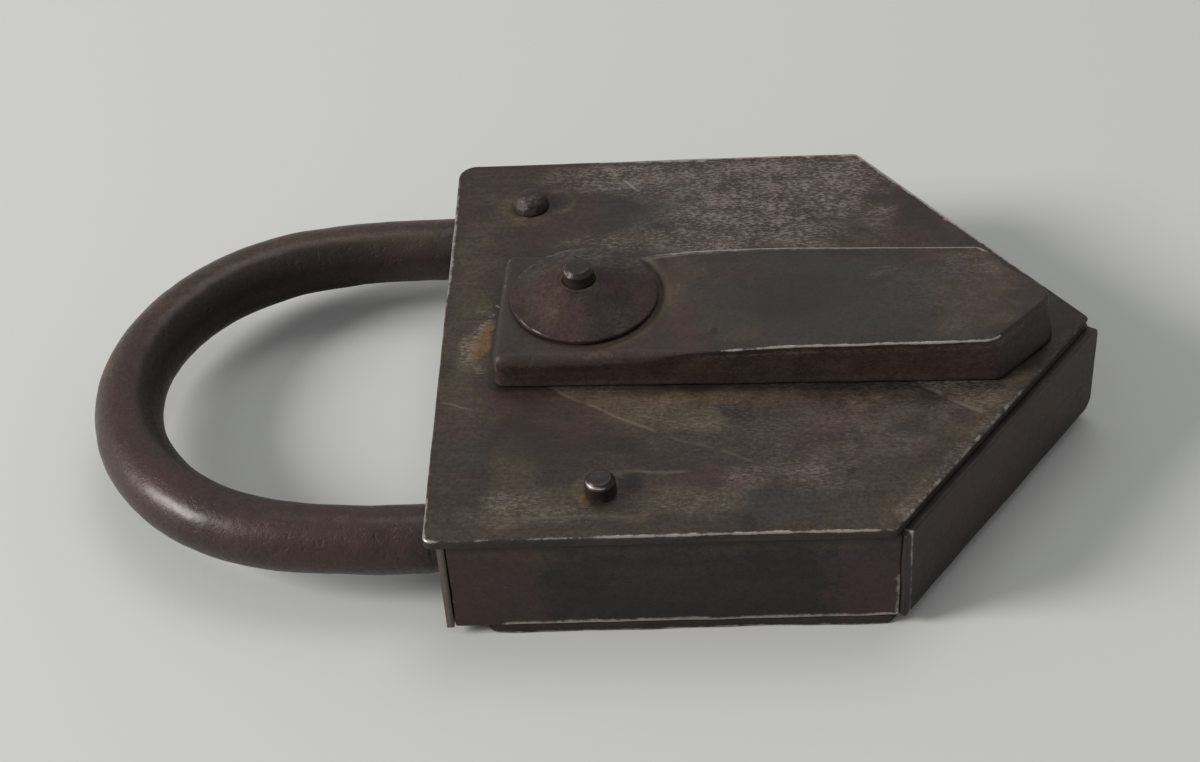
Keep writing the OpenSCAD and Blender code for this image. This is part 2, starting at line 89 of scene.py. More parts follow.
HINGE = HINGE_X, HINGE_Y = middle_mm("hinge_rivet")
STOP = STOP_X, STOP_Y = middle_mm("stop_rivet")
PIVOT = PIVOT_X, PIVOT_Y = middle_mm("cover_pivot")
POST = middle_mm("key_post")
WASHER = middle_mm("cover_washer")
PLATE_TOP = box_mm("front_plate")[1][2]
BACK_TOP = box_mm("back_plate")[1][2]
KEYHOLE_R, SLOT_HALF, SLOT_END = 4.0, 2.5, 13.0  # round end, slot's half-width and its end
# shackle: the bar's radius, gain at the crown and height, the legs' distance from the
# middle line, where they bend and where they enter the case, and the eye round the hinge
BAR_R, CROWN_GAIN, BAR_Z, LEG_Y = 5.25, 0.2, 10.4, 34.6
BEND_X, CASE_X = -29.782, -22.4
EYE_R, EYE_BORE, EYE_HALF = 6.0, 2.575, 4.5
# cover: its underside, its bar's turn from the x axis, the middle of its width, its
# thickness under the washer, the radius of its hole and of the washer
COVER_LOW = box_mm("cover_bar")[0][2]
BAR_TILT, BAR_MIDDLE, SEAT_T = math.radians(2.6), -1.75, 5.7
COVER_BORE, WASHER_R = 2.525, 11.55
WASHER_SLIP = WASHER - PIVOT  # how far the washer's rim has slipped from its hole's middle


# ---------- random lumps ----------


def lattice(cell, seed):
    """A number from -1 to 1 for each whole-numbered cell: its indices times large primes,
    mixed bit by bit."""
    h = np.full(cell.shape[:-1], (seed * 2654435761) & 0xFFFFFFFF, np.uint64)
    for axis, prime in zip(range(cell.shape[-1]), (73856093, 19349663, 83492791)):
        h ^= (cell[..., axis] * prime).astype(np.int64).astype(np.uint64) & np.uint64(0xFFFFFFFF)
        h = (h * np.uint64(747796405) + np.uint64(2891336453)) & np.uint64(0xFFFFFFFF)
        h ^= h >> np.uint64(15)
    return h.astype(float) / 0x7FFFFFFF - 1


def lumps(points, size, seed, octaves=1):
    """Smooth random values of about -1 to 1: the numbers at a cell's corners, blended along
    each axis with 3t² - 2t³, plus the same at half the size and strength for each octave."""
    points = np.asarray(points, float)
    total, share = 0.0, 1.0
    for octave in range(octaves):
        place = points * 2**octave / size + 11.3 * seed
        cell = np.floor(place).astype(np.int64)
        t = place - cell
        t = t * t * (3 - 2 * t)
        value = 0.0
        for corner in np.ndindex(*(2,) * points.shape[-1]):
            weight = np.prod(np.where(np.array(corner) == 1, t, 1 - t), axis=-1)
            value = value + weight * lattice(cell + np.array(corner), seed + octave)
        total = total + share * value
        share /= 2
    return total


def hollows(points, size, seed, octaves):
    """The same lumps as depths from 0 to about 1."""
    return (1 + lumps(points, size, seed, octaves)) / 2


def smooth(value, low, high):
    """0 below low, 1 above high and 3t² - 2t³ between."""
    t = np.clip((value - low) / (high - low), 0, 1)
    return t * t * (3 - 2 * t)


def bell(value, width):
    """1 at nought, falling off to both sides as e to the minus (value / width)²."""
    return np.exp(-((value / width) ** 2))


def reach(points, centre):
    """Distance in plan from a centre."""
    return np.linalg.norm(points[..., :2] - centre, axis=-1)


# ---------- meshes ----------


def finish_piece(name, mesh, body, node, material, marks):
    """Puts the mesh in the scene as a piece that rides on a body and stands for a CAD node."""
    for mark, values in marks.items():
        attribute = mesh.attributes.new(mark, "FLOAT", "POINT")
        attribute.data.foreach_set("value", np.asarray(values, np.float32).ravel())
    piece = bpy.data.objects.new(name, mesh)
    bpy.context.scene.collection.objects.link(piece)
    mesh.materials.append(material)
    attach(piece, body)
    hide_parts(node)


def skin(name, grid, poles=False):
    """A mesh over a grid of points (rows, columns, xyz) in millimetres. Columns always run
    round and close. Rows close too, or end in poles at the mean points of the first and
    last row. The faces are turned outwards by the sign of the enclosed volume."""
    rows, columns = grid.shape[:2]
    number = np.arange(rows * columns).reshape(rows, columns)
    upper = number if poles else np.concatenate([number, number[:1]])
    a, b = upper[:-1], upper[1:]
    quads = np.stack([a, np.roll(a, -1, 1), np.roll(b, -1, 1), b], -1).reshape(-1, 4)
    points = grid.reshape(-1, 3)
    tris = np.zeros((0, 3), int)
    for row, step in ((0, 1), (rows - 1, -1)) if poles else ():
        ring = number[row][::step]
        tip = np.full(columns, len(points))
        tris = np.concatenate([tris, np.stack([tip, np.roll(ring, -1), ring], -1)])
        points = np.concatenate([points, grid[row].mean(0, keepdims=True)])
    p = points[np.concatenate([quads[:, [0, 1, 2]], quads[:, [0, 2, 3]], tris])]
    if np.einsum("ij,ij->", p[:, 0], np.cross(p[:, 1], p[:, 2])) < 0:
        quads, tris = quads[:, ::-1], tris[:, ::-1]
    mesh = bpy.data.meshes.new(name)
    corners = np.concatenate([quads.ravel(), tris.ravel()]).astype(np.int32)
    starts = np.concatenate([np.arange(len(quads)) * 4, len(quads) * 4 + np.arange(len(tris)) * 3])
    mesh.vertices.add(len(points))
    mesh.vertices.foreach_set("co", (points * MM).astype(np.float32).ravel())
    mesh.loops.add(len(corners))
    mesh.loops.foreach_set("vertex_index", corners)
    mesh.polygons.add(len(starts))
    mesh.polygons.foreach_set("loop_start", starts.astype(np.int32))
    mesh.polygons.foreach_set("use_smooth", np.ones(len(starts), bool))
    mesh.update(calc_edges=True)
    mesh.validate()
    return mesh, points


def mesh_points(mesh):
    """A mesh's points, in metres."""
    flat = np.zeros(len(mesh.vertices) * 3, np.float32)
    mesh.vertices.foreach_get("co", flat)
    return flat.reshape(-1, 3)


def resample(outline, count):
    """Points at equal steps along a closed outline."""
    closed = np.concatenate([outline, outline[:1]])
    along = np.concatenate([[0], np.cumsum(np.linalg.norm(np.diff(closed, axis=0), axis=1))])
    at = np.arange(count) / count * along[-1]
    return np.stack([np.interp(at, along, closed[:, i]) for i in (0, 1)], -1)


def plan_outline(node):
    """Outline of a CAD node seen from above, anticlockwise, from its own points."""
    flat = np.unique(np.round(mesh_points(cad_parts[node].data)[:, :2] / MM, 3), axis=0)
    hull = flat[convex_hull_2d([tuple(p) for p in flat])]
    x, y = hull.T
    area = np.sum(x * np.roll(y, -1) - y * np.roll(x, -1))
    return hull if area > 0 else hull[::-1]


def fillet(points, radii, steps=6):
    """A polyline whose corners are replaced by circle arcs of the given radii."""
    points = [np.array(p, float) for p in points]
    out = [points[0]]
    for before, p, after, r in zip(points, points[1:], points[2:], radii):
        u, v = before - p, after - p
        u, v = u / np.linalg.norm(u), v / np.linalg.norm(v)
        half = math.acos(np.clip(u @ v, -1, 1)) / 2
        centre = p + (u + v) / np.linalg.norm(u + v) * r / math.sin(half)
        start, end = p + u * r / math.tan(half) - centre, p + v * r / math.tan(half) - centre
        sweep = math.pi - 2 * half
        for t in np.linspace(0, 1, steps):
            turned = math.sin((1 - t) * sweep) * start + math.sin(t * sweep) * end
            out.append(centre + turned / math.sin(sweep))
    return np.array(out + [points[-1]])


def round_corners(corners, radii):
    """A closed polygon with each corner replaced by a circle arc of its own radius."""
    ring = [corners[-1], *corners, corners[0]]
    arcs = [fillet(ring[i : i + 3], [radius])[1:-1] for i, radius in enumerate(radii)]
    return np.concatenate(arcs)


def right_of(step):
    """Steps along an anticlockwise outline, turned a quarter to the right, as unit normals."""
    step = step / np.maximum(np.linalg.norm(step, axis=1, keepdims=True), 1e-9)
    return np.stack([step[:, 1], -step[:, 0]], -1)


def wall_plane(node):
    """Where a wall's outer face lies in plan: its start, its direction (so that the outer
    side is on the right), its outward normal, its length, the wall's thickness, and how far
    its inner face runs past the outer one at each end."""
    outline = plan_outline(node)
    step = np.roll(outline, -1, 0) - outline
    length = np.linalg.norm(step, axis=1)
    normal = right_of(step)
    from_case = (outline + np.roll(outline, -1, 0)) / 2 - (20.0, 0.0)
    outer = np.einsum("ij,ij->i", normal, from_case) > 0
    i = int(np.argmax(length + 100 * outer * (length > 0.5 * length.max())))
    start, along = outline[i], step[i] / length[i]
    before, end, after = outline[i - 1], *np.roll(outline, -i - 1, 0)[:2]
    thick = np.max((start - outline) @ normal[i])
    mitre = (before - start) @ along, (after - end) @ along
    return start, along, normal[i], length[i], thick, mitre


def slab(outline, hole, low, top, edge, steps, wobble=0.0, lean=0.0, seed=1, low_edge=0.25):
    """Rings round a plate with rounded edges. From the hole's rim the rings run over the
    top to the outline moved in by the edge radius, turn down through a quarter circle, go
    down the side, turn under and come back to the hole. The top's height is top(points).
    lean moves the side in towards the top, and wobble moves the outline in by that much
    times random lumps along it. Returns the grid and each point's distance from the
    middle of the upper edge's rounding, which rubbing follows."""
    face, corner, side = steps
    normal = right_of(np.roll(outline, -1, 0) - np.roll(outline, 1, 0))
    edge, lean = (np.broadcast_to(np.reshape(v, (-1, 1)), (len(outline), 1)) for v in (edge, lean))
    rim = outline - normal * wobble * hollows(outline, 5, seed, 2)[:, None]
    inset = rim - normal * (edge + lean)
    height = top(inset)[:, None]
    rings, away = [], []

    def add(plan, z, distance):
        z = np.broadcast_to(np.reshape(z, (-1, 1)), (len(plan), 1))
        rings.append(np.concatenate([plan, z], 1))
        away.append(np.broadcast_to(np.ravel(distance), len(plan)))

    crook = edge * 0.57
    for t in np.linspace(0, 1, face + 1):
        plan = hole + (inset - hole) * (t + 0.25 * t * (1 - t))
        add(plan, top(plan), np.linalg.norm(inset - plan, axis=1)[:, None] + crook)
    for turn in np.linspace(0, QUARTER, corner + 1)[1:]:
        plan = inset + normal * edge * math.sin(turn)
        add(plan, height - edge * (1 - math.cos(turn)), np.abs(turn - QUARTER / 2) * edge)
    side_top = height - edge
    for t in np.linspace(0, 1, side + 1)[1:]:
        z = side_top + (low + low_edge - side_top) * t
        swell = 0.12 * (lumps(np.concatenate([rim, z], 1), 6, seed + 3, 2)[:, None] - 1)
        ease = min(1.0, 3 * t, 6 * (1 - t)) * (wobble > 0)
        add(inset + normal * (edge + lean * t + swell * ease), z, side_top - z + crook)
    for turn in np.linspace(0, QUARTER, 4)[1:]:
        under = low_edge * (1 - math.cos(turn))
        add(rim - normal * under, low + low_edge * (1 - math.sin(turn)), OUT_OF_REACH)
    foot = rim - normal * low_edge
    for t in np.linspace(1, 0, max(4, face // 8))[1:]:
        add(hole + (foot - hole) * t, low, OUT_OF_REACH)
    return np.stack(rings), np.concatenate(away)


def lathe(profile, centre, turns):
    """Rings from a profile of (radius, height) turned round a vertical line at centre."""
    angle = np.arange(turns) / turns * 2 * math.pi
    radius, height = np.asarray(profile, float).T
    return np.stack([
        centre[0] + radius[:, None] * np.cos(angle),
        centre[1] + radius[:, None] * np.sin(angle),
        height[:, None] + 0 * angle,
    ], -1)


def refine(profile, step):
    """The same polyline with points added so that none is further than step from the next."""
    out = [profile[:1]]
    for a, b in zip(profile, profile[1:]):
        count = max(1, int(np.ceil(np.linalg.norm(b - a) / step)))
        t = np.arange(1, count + 1)[:, None] / count
        out.append(a + (b - a) * t)
    return np.concatenate(out)


# ---------- marks ----------


def blots(points, table, rag=0.35, size=4, seed=5):
    """Strongest of a table of soft ovals (x, y, reach along, reach across, turn in degrees,
    strength) at the points, their distances stirred by random lumps so that no oval is
    even."""
    stir = rag * lumps(points[:, :2], size, seed, 3)
    total = np.zeros(len(points))
    for x, y, along, across, turn, strength in table:
        c, s = math.cos(math.radians(turn)), math.sin(math.radians(turn))
        dx, dy = points[:, 0] - x, points[:, 1] - y
        d = np.hypot((dx * c + dy * s) / along, (dy * c - dx * s) / across) + stir
        total = np.maximum(total, strength * smooth(d, 1.5, 0.45))
    return total


def off_line(points, x0, y0, x1, y1):
    """Distance in plan from the line between two places."""
    run = np.array([x1 - x0, y1 - y0], float)
    rel = points[:, :2] - (x0, y0)
    t = np.clip(rel @ run / (run @ run), 0, 1)
    return np.linalg.norm(rel - t[:, None] * run, axis=1)


def stripes(points, table, rag=0.0):
    """Strongest of a table of soft lines (x0, y0, x1, y1, half-width, strength)."""
    stir = rag * lumps(points[:, :2], 3, 6, 2)
    total = np.zeros(len(points))
    for *line, half, strength in table:
        d = off_line(points, *line) / half + stir
        total = np.maximum(total, strength * smooth(d, 1.4, 0.5))
    return total


def rubbed(points, table, away, width=0.22, spread=1.2):
    """Rubbed metal at the points, and on some edges painted highlights and a painted
    reflection: the strength of the nearest stretch of edge in the table, times a bell curve
    of the distance from the edge, plus a fainter, wider one. The table's rows are x0, y0, x1,
    y1 and the mark's strength along that stretch."""
    strength = np.zeros(len(points))
    for *line, value in table:
        strength = np.maximum(strength, value * smooth(off_line(points, *line), 3.5, 1.5))
    return strength * (bell(away, width) + 0.22 * bell(away, spread))


# ---------- iron recipe ----------


class Value:
    """A node's output, so that sums of outputs are written plainly. Each adds one node."""

    def __init__(self, recipe, socket):
        self.recipe, self.socket = recipe, socket

    def __add__(self, other):
        return self.recipe.math("ADD", self, other)

    def __sub__(self, other):
        return self.recipe.math("SUBTRACT", self, other)

    def __mul__(self, other):
        return self.recipe.math("MULTIPLY", self, other)

    def __abs__(self):
        return self.recipe.math("ABSOLUTE", self)

    def most(self, other):
        """The larger of the two."""
        return self.recipe.math("MAXIMUM", self, other)


class Recipe:
    """Short way to write a node tree. Each call adds one node and returns its output."""

    def __init__(self, name):
        self.material = bpy.data.materials.new(name)
        self.material.use_nodes = True
        self.tree = self.material.node_tree
        self.shader = self.tree.nodes["Principled BSDF"]
        self.place = Value(self, self.tree.nodes.new("ShaderNodeTexCoord").outputs["Object"])

    def set(self, socket, value):
        if isinstance(value, Value):
            self.tree.links.new(value.socket, socket)
        else:
            socket.default_value = value

    def add(self, kind, inputs, output=0, **settings):
        """A node of that kind, with its inputs by number or name, and its output."""
        node = self.tree.nodes.new("ShaderNode" + kind)
        for name, setting in settings.items():
            setattr(node, name, setting)
        for key, value in inputs.items():
            self.set(node.inputs[key], value)
        return Value(self, node.outputs[output])

    def math(self, operation, *values):
        return self.add("Math", dict(enumerate(values)), operation=operation)

    def mix(self, factor, a, b, blend="MIX"):
        """Colour a where factor is 0 and b where it is 1."""
        a, b = (c if isinstance(c, Value) else (*c, 1) for c in (a, b))
        return self.add("Mix", {0: factor, 6: a, 7: b}, 2, data_type="RGBA", blend_type=blend)

    def blend(self, factor, a, b):
        """Number a where factor is 0 and b where it is 1."""
        return self.add("Mix", {0: factor, 2: a, 3: b})

    def stretch(self, scale):
        """Object coordinates scaled along each axis, so that a pattern lies in streaks."""
        return self.add("Mapping", {"Vector": self.place, "Scale": scale})

    def noise(self, size_mm, detail=3.0, roughness=0.55, place=None, distortion=0.0):
        """Fractal noise, 0 to 1, whose largest lumps are about size_mm across."""
        return self.add("TexNoise", {
            "Vector": place or self.place, "Scale": 1 / (size_mm * MM), "Detail": detail,
            "Roughness": roughness, "Distortion": distortion,
        })

    def step(self, value, low, high, to_low=0.0, to_high=1.0):
        """Smooth step of a value from low to high."""
        inputs = dict(enumerate((value, low, high, to_low, to_high)))
        return self.add("MapRange", inputs, interpolation_type="SMOOTHSTEP")

    def mark(self, name):
        """The value kept on the points under that name."""
        return self.add("Attribute", {}, "Fac", attribute_name=name)

    def axis(self, index):
        """One of the object's own coordinates, in metres."""
        return self.add("SeparateXYZ", {0: self.place}, index)

    def scratch(self, x0, y0, x1, y1, half):
        """1 on a thin line between two places in millimetres, fading over half its width:
        the distance to the line, and to its middle along it. Also how much of a film lies
        on the line's left side, sharp at the line and gone some millimetres from it."""
        run = math.hypot(x1 - x0, y1 - y0)
        ux, uy = (x1 - x0) / run, (y1 - y0) / run
        dx, dy = self.axis(0) - x0 * MM, self.axis(1) - y0 * MM
        across = dy * ux - dx * uy
        waver = (self.noise(6, 2) - 0.5) * (half * 3 * MM)
        thin = self.step(abs(across + waver), half * MM, half * 0.3 * MM)
        half_run = run / 2 * MM
        from_middle = abs(dx * ux + dy * uy - half_run)
        inside = self.step(from_middle, half_run, half_run * 0.8)
        beside = self.step(across, -0.1 * MM, 0.35 * MM) * self.step(across, 10 * MM, 4 * MM)
        return thin * inside, beside * self.step(from_middle, half_run * 1.3, half_run * 0.9)


ALONG = (0.16, 1.0, 1.0)  # scales that draw a pattern out along x
SHORT_DASHES = (0.42, 1.0, 1.0)
LONG_FIBRES = (0.1, 1.0, 1.0)


def iron(
    name, brown, deep, grain=1.0, streak=0.0, sheen=0.0, rough=0.55, scratches=(), blotch=0.5,
    bump_mm=0.1, brush=0.0, gloss=0.38, rubbed_end=(), oiled=0.0,
):
    """Old patinated iron. Two browns are mixed by broad and middling noise, darkened and
    lightened by fine grain, and covered by dust, rust, cool grey and dark stains where
    their marks and a ragged noise say; on some pieces the same marks also carry painted
    shade, painted highlights and a painted reflection. Rubbed places turn to bare metal,
    and so do the painted highlights kept with them.

    grain is the strength of the fine specks and brush that of the fibres along x. streak is
    the share of the browns' noise that is drawn out along x, and blotch their contrast.
    sheen makes it more metallic, and oiled is a clear coat, thinned where dark stains and
    painted shade lie. The rows of scratches are x0, y0, x1, y1, half-width, strength, and the
    strengths of the dust and of the pale metal on the line's left. rubbed_end is how far to
    the side and how far out, in millimetres, the rubbed corner of the end wall lies."""
    s, r = colours(), Recipe(name)
    broad = r.noise(16, 4, 0.6, distortion=0.4)
    middle = r.noise(3.2, 4, 0.62)
    fine = r.noise(0.75, 3, 0.7)
    specks = r.noise(0.28, 2, 0.6)
    streaks = r.noise(3.0, 4, 0.65, place=r.stretch(ALONG))
    body = broad * 0.55 + middle * 0.45
    if streak:
        body = r.blend(streak, body, streaks)
    colour = r.mix(r.step(body, 0.5 - blotch / 4, 0.5 + blotch / 4), deep, brown)
    ragged = middle * 0.5 + streaks * 0.5
    lines = [(*r.scratch(*row[:5]), *row[5:]) for row in scratches]

    def beside_lines(value, film):
        """The value, or where it is stronger the film beside a scratch."""
        for _, beside, *strengths in lines:
            if strengths[film]:
                value = value.most(beside * strengths[film])
        return value

    def layer(mark, sharp, film=None):
        """A mark's own strength, broken up by the ragged noise."""
        value = r.mark(mark) if film is None else beside_lines(r.mark(mark), film)
        pushed = value + (ragged - 0.5) * 1.2 + (fine - 0.5) * 0.7
        return r.step(pushed, 0.5 - sharp, 0.5 + sharp) * r.step(value, 0.02, 0.2)

    red, rust = layer("red", 0.35), layer("rust", 0.35)
    tan, cool, dark = layer("tan", 0.6, 1), layer("cool", 0.45), layer("dark", 0.4)
    # the dust colour also lays painted highlights on the cover, and the stain colour also paints
    # shade and shadows on the shackle, the near side wall, the cover's tip and the plate
    for where, share, tint in (
        (red, 0.8, s.red_brown), (tan, 0.72, s.dust), (cool, 0.7, s.cool_grey),
        (dark, 0.75, s.stain_and_shade), (rust, 0.85, s.rust),
    ):
        colour = r.mix(where * share, colour, tint)
    # fine grain, lighter and darker than the colour under it
    speck = fine * 0.6 + specks * 0.4
    shade = r.step(speck, 0.3, 0.7, 1 - 0.3 * grain, 1 + 0.3 * grain)
    if brush:
        fibres = r.noise(0.6, 3, 0.6, place=r.stretch(LONG_FIBRES))
        shade = shade * r.step(fibres, 0.3, 0.7, 1 - brush, 1 + brush)
    grey = r.add("CombineColor", {0: shade, 1: shade, 2: shade})
    colour = r.mix(1.0, colour, grey, "MULTIPLY")
    # bare metal: pale marks show it in specks, and rubbed edges nearly whole; the same bright metal
    # also paints the highlights and the reflection that some pieces keep in the wear mark
    if rubbed_end:
        side, outer = rubbed_end
        spots = r.step(abs(r.axis(1)), (side - 0.5) * MM, (side - 0.1) * MM)
        spots = spots * r.step(r.axis(0), (outer + 1.2) * MM, (outer + 0.4) * MM, 0.03, 0.5)
    else:
        dashes = r.noise(0.36, 4, 0.66, place=r.stretch(SHORT_DASHES)) + (ragged - 0.5) * 0.6
        pale = beside_lines(r.mark("pale"), 2)
        spots = pale * r.step(dashes, 0.43, 0.67, 0.05, 1.0) * 0.8
    wear_and_highlight = r.mark("wear_and_highlight")
    chips_and_highlights = wear_and_highlight + (r.noise(1.6, 4, 0.7) - 0.5) * 0.9
    chips_and_highlights = r.step(chips_and_highlights, 0.42, 0.78) * r.step(wear_and_highlight, 0.03, 0.3)
    for thin, _, strength, *_ in lines:
        spots = spots.most(thin * strength * r.step(middle, 0.3, 0.55))
    colour = r.mix(spots, colour, s.dull_metal_and_highlight)
    colour = r.mix(chips_and_highlights, colour, s.bare_metal_and_highlight)
    bare = (spots * 0.5).most(chips_and_highlights)
    roughness = r.step(speck, 0.3, 0.7, rough + 0.1, rough - 0.08)
    roughness = r.blend(rust.most(tan * 0.6), roughness, 0.75)
    pits = r.step(r.noise(1.3, 3, 0.6), 0.3, 0.46) * 0.4
    height = fine * 0.5 + specks * 0.35 + (pits + middle * 0.8)
    bump = r.add("Bump", {"Strength": 1.0, "Distance": bump_mm * MM, "Height": height})
    for socket, value in (
        ("Base Color", colour), ("Specular IOR Level", gloss), ("Coat Roughness", 0.27),
        ("Metallic", r.blend(bare, 0.12 + sheen, 0.75)),
        ("Roughness", r.blend(bare, roughness, 0.4)), ("Normal", bump),
    ):
        r.set(r.shader.inputs[socket], value)
    if oiled:
        r.set(r.shader.inputs["Coat Weight"], r.blend(dark, oiled, 0.05))
    return r.material


# ---------- settings ----------


def colour_setting(name, description, value):
    """A colour that the user can change, with its linear default."""
    return FloatVectorProperty(
        name=name, description=description, default=value, size=3, min=0, max=1, subtype="COLOR"
    )


def length_setting(name, description, value):
    """A length that the user can change, with its default in metres."""
    return FloatProperty(
        name=name, description=description, default=value, min=0, unit="LENGTH", subtype="DISTANCE"
    )


class PadlockFinish(bpy.types.PropertyGroup):
    """Colours of the iron, of what lies on it, and of the painted highlights and shade laid with
    them.
    """

    brown: colour_setting("Brown", "Patina over most of the iron", srgb(51, 40, 35))
    deep: colour_setting("Deep brown", "Darker patina between", srgb(38, 30, 27))
    red_brown: colour_setting("Red-brown", "Reddish patina", srgb(56, 38, 35))
    # dust also lays painted highlights: the lit slope round the washer and the cover's far edge
    dust: colour_setting("Dust", "Olive-tan film on the plate", srgb(75, 64, 45))
    rust: colour_setting("Rust", "Fresh orange rust", srgb(97, 72, 50))
    cool_grey: colour_setting("Cool grey", "Blue-grey patches", srgb(43, 43, 40))
    # also painted shade and painted shadows, laid through the dark mark
    stain_and_shade: colour_setting("Stain", "Dark oily stains", srgb(28, 23, 20))
    # also a painted highlight band on the cover's near bevel and along its far edge
    dull_metal_and_highlight: colour_setting("Dull metal", "Specks of thin patina", srgb(130, 118, 110))
    # also painted highlights on lit edges and a painted reflection of the floor on the near wall's
    # bottom edge
    bare_metal_and_highlight: colour_setting("Bare metal", "Rubbed edges", srgb(158, 150, 143))
    floor: colour_setting("Floor", "Plain pale floor", srgb(186, 187, 184))


class PadlockSizes(bpy.types.PropertyGroup):
    """How worn the forging is."""

    plate_edge: length_setting("Plate edge", "Rounding of the plate's edges", 0.35 * MM)
    cover_edge: length_setting("Cover edge", "Rounding of the cover's edges", 0.34 * MM)
    hammer: length_setting("Hammering", "Depth of the hollows in the front plate", 0.12 * MM)
    bar_lumps: length_setting("Bar lumps", "Depth of the hollows along the shackle", 0.16 * MM)


def sizes():
    return bpy.context.scene.padlock_sizes


def colours():
    return bpy.context.scene.padlock_finish


# ---------- plates ----------

# x, y, reach along, reach across, turn, strength
PLATE_DUST = (
    (15, -20.5, 8, 3.6, -14, 0.95), (5, -18.5, 7, 3.5, -34, 0.6), (15, -38, 11, 4.5, 4, 0.7),
    (STOP_X - 3.0, STOP_Y - 0.4, 1.3, 2.2, 10, 0.9), (-8, -38, 9, 4, 8, 0.6),
    (-9.5, -32, 3.6, 7, 0, 0.6), (43, -30, 13, 8, 55, 0.42), (48, -36, 9, 3, 53, 0.6),
    (56, -25, 8, 3, 53, 0.7), (31, -22, 6, 5, 20, 0.5), (34, -32, 8, 4, 10, 0.45),
    (-19, 4, 3.5, 26, 0, 0.5), (-17.5, -2, 2.2, 7, -12, 0.95), (-14, -2, 4, 7, 0, 0.5),
    (37, -40, 7, 5, 0, 0.4), (-13, 32, 4, 5, 0, 0.45), (66, -12, 4, 1.6, 53, 0.6),
    (20, -16, 24, 2.6, -3, 0.6),
)
PLATE_RUST = (
    (-16.7, -2.4, 1.6, 3.6, -14, 1.0), (-17.5, -4.8, 1.0, 1.6, -30, 0.85),
    (-15.5, 2.0, 0.8, 2.2, -15, 0.7), (STOP_X - 2.3, STOP_Y - 1.9, 0.9, 1.3, 10, 0.75),
    (HINGE_X - 1.6, HINGE_Y - 3.2, 1.0, 0.8, 0, 0.5), (16, -16.1, 18, 1.4, -3, 0.4),
    (42, -18, 4, 1.5, 0, 0.4),
)
PLATE_COOL = (
    (28.5, -39.5, 6.5, 4.2, 5, 0.85), (-17.5, -27, 3.6, 5, 0, 0.6), (15.5, 33, 4, 5.5, 10, 0.75),
    (54, 25, 7, 4, -53, 0.5), (6.5, 32, 4.6, 8.5, 0, 1.0), (20.5, -29, 4, 1.6, 0, 0.5),
)
# stains, and two painted shadows: the oval right of the hinge rivet's head at (-5.6, 34.2) and the
# patch between the cover's tip and the slope edge at (70, -7)
PLATE_STAINS_AND_SHADOWS = (
    (23.8, -43.0, 1.1, 2.0, 0, 1.2), (STOP_X + 4.6, STOP_Y + 1.8, 2.0, 2.2, 0, 0.95),
    (-5.6, 34.2, 1.9, 2.2, 0, 0.2), (22.5, -18.5, 3.2, 2.2, -20, 0.95), (28, -21, 5, 4, 0, 0.55),
    (-7, -25, 9, 5, -20, 0.6), (5, -25.5, 6, 2.2, -18, 0.7), (29, -27, 9, 2.4, 0, 0.5),
    (39.0, -32.5, 0.6, 0.6, 0, 1.3), (50, 31, 12, 4, -53, 0.6), (-6, -17, 6, 2.5, -30, 0.45),
    (6, 33, 4, 7, 0, 0.4), (24, 36, 3, 2, 0, 0.4), (36, 31, 4, 2, 0, 0.45),
    (57, -14.5, 5, 1.2, 0, 0.7), (47, -24, 3, 2, 0, 0.5), (70, -7, 8, 2.4, 53, 0.75),
)
PLATE_PALE = (
    (29, 33, 17, 14, 0, 1.0), (16, 41, 20, 4, 0, 0.9), (38, 37, 12, 9, -20, 0.9),
    (26, 43, 20, 2.4, 0, 1.0), (22, 23, 20, 3.0, 0, 0.95), (57.5, -17.8, 4.6, 2.6, 20, 0.32),
    (15, -38, 9, 3.4, 0, 0.45), (-11, -37.5, 4, 2.4, 0, 0.6), (15, -21, 8, 3, -14, 0.45),
    (-18.3, -2, 1.3, 6, -10, 0.8), (3, -33, 3, 1.5, 0, 0.35), (9, 38, 6, 4, 0, 0.6),
    (34, -22, 22, 10, 0, 0.25), (33.5, -33.5, 5, 4, 0, 0.6), (24, -33, 4, 3, 0, 0.5),
    (-4, -40, 14, 2, 0, 0.4),
)
PLATE_RED = (
    (-4, -20, 12, 9, -20, 0.85), (-12, 32, 16, 14, 0, 0.55), (34, -23, 9, 6, 0, 0.9),
    (50, 30, 12, 8, -53, 0.9), (-18, -20, 4, 9, 0, 0.7), (20, -33, 7, 3, 0, 0.7),
    (6, -35, 8, 3, 0, 0.6), (-16, 20, 5, 10, 0, 0.5),
)
# x0, y0, x1, y1, half-width, strength
DUST_LINES = (
    (5.1, -31.7, 15.9, -31.9, 0.6, 0.3), (-14, -40.5, 12, -40.8, 0.7, 0.5),
    (6, 23.2, 24, 22.6, 1.4, 0.5), (-17, 40, 44, 43.5, 0.9, 0.2),
)
PALE_LINES = (
    (-15.2, 5.0, -18.6, -1.6, 0.5, 0.9), (-18.6, -1.6, -19.2, -4.5, 0.6, 0.9),
    (-18.8, -5, -16.5, -8.5, 0.6, 0.8), (45.5, -42, 62, -20, 1.2, 0.42),
    (64, -16, 74, -3, 0.8, 0.12), (25, 27, 31, 27, 0.3, 1.0),
)
UNDER_COVER = ((-14, -12.0, 62, -15.2, 1.1, 0.8), (-14.5, -12, -14.5, 14, 0.8, 0.5))
EDGE_FLECKS = (
    (4, 44.5, 44, 44.5, 0.4, 0.6), (46, 42.6, 57.9, 25.9, 0.4, 0.54),
    (57.9, 25.9, 69.9, 9.0, 0.3, 0.3),
)
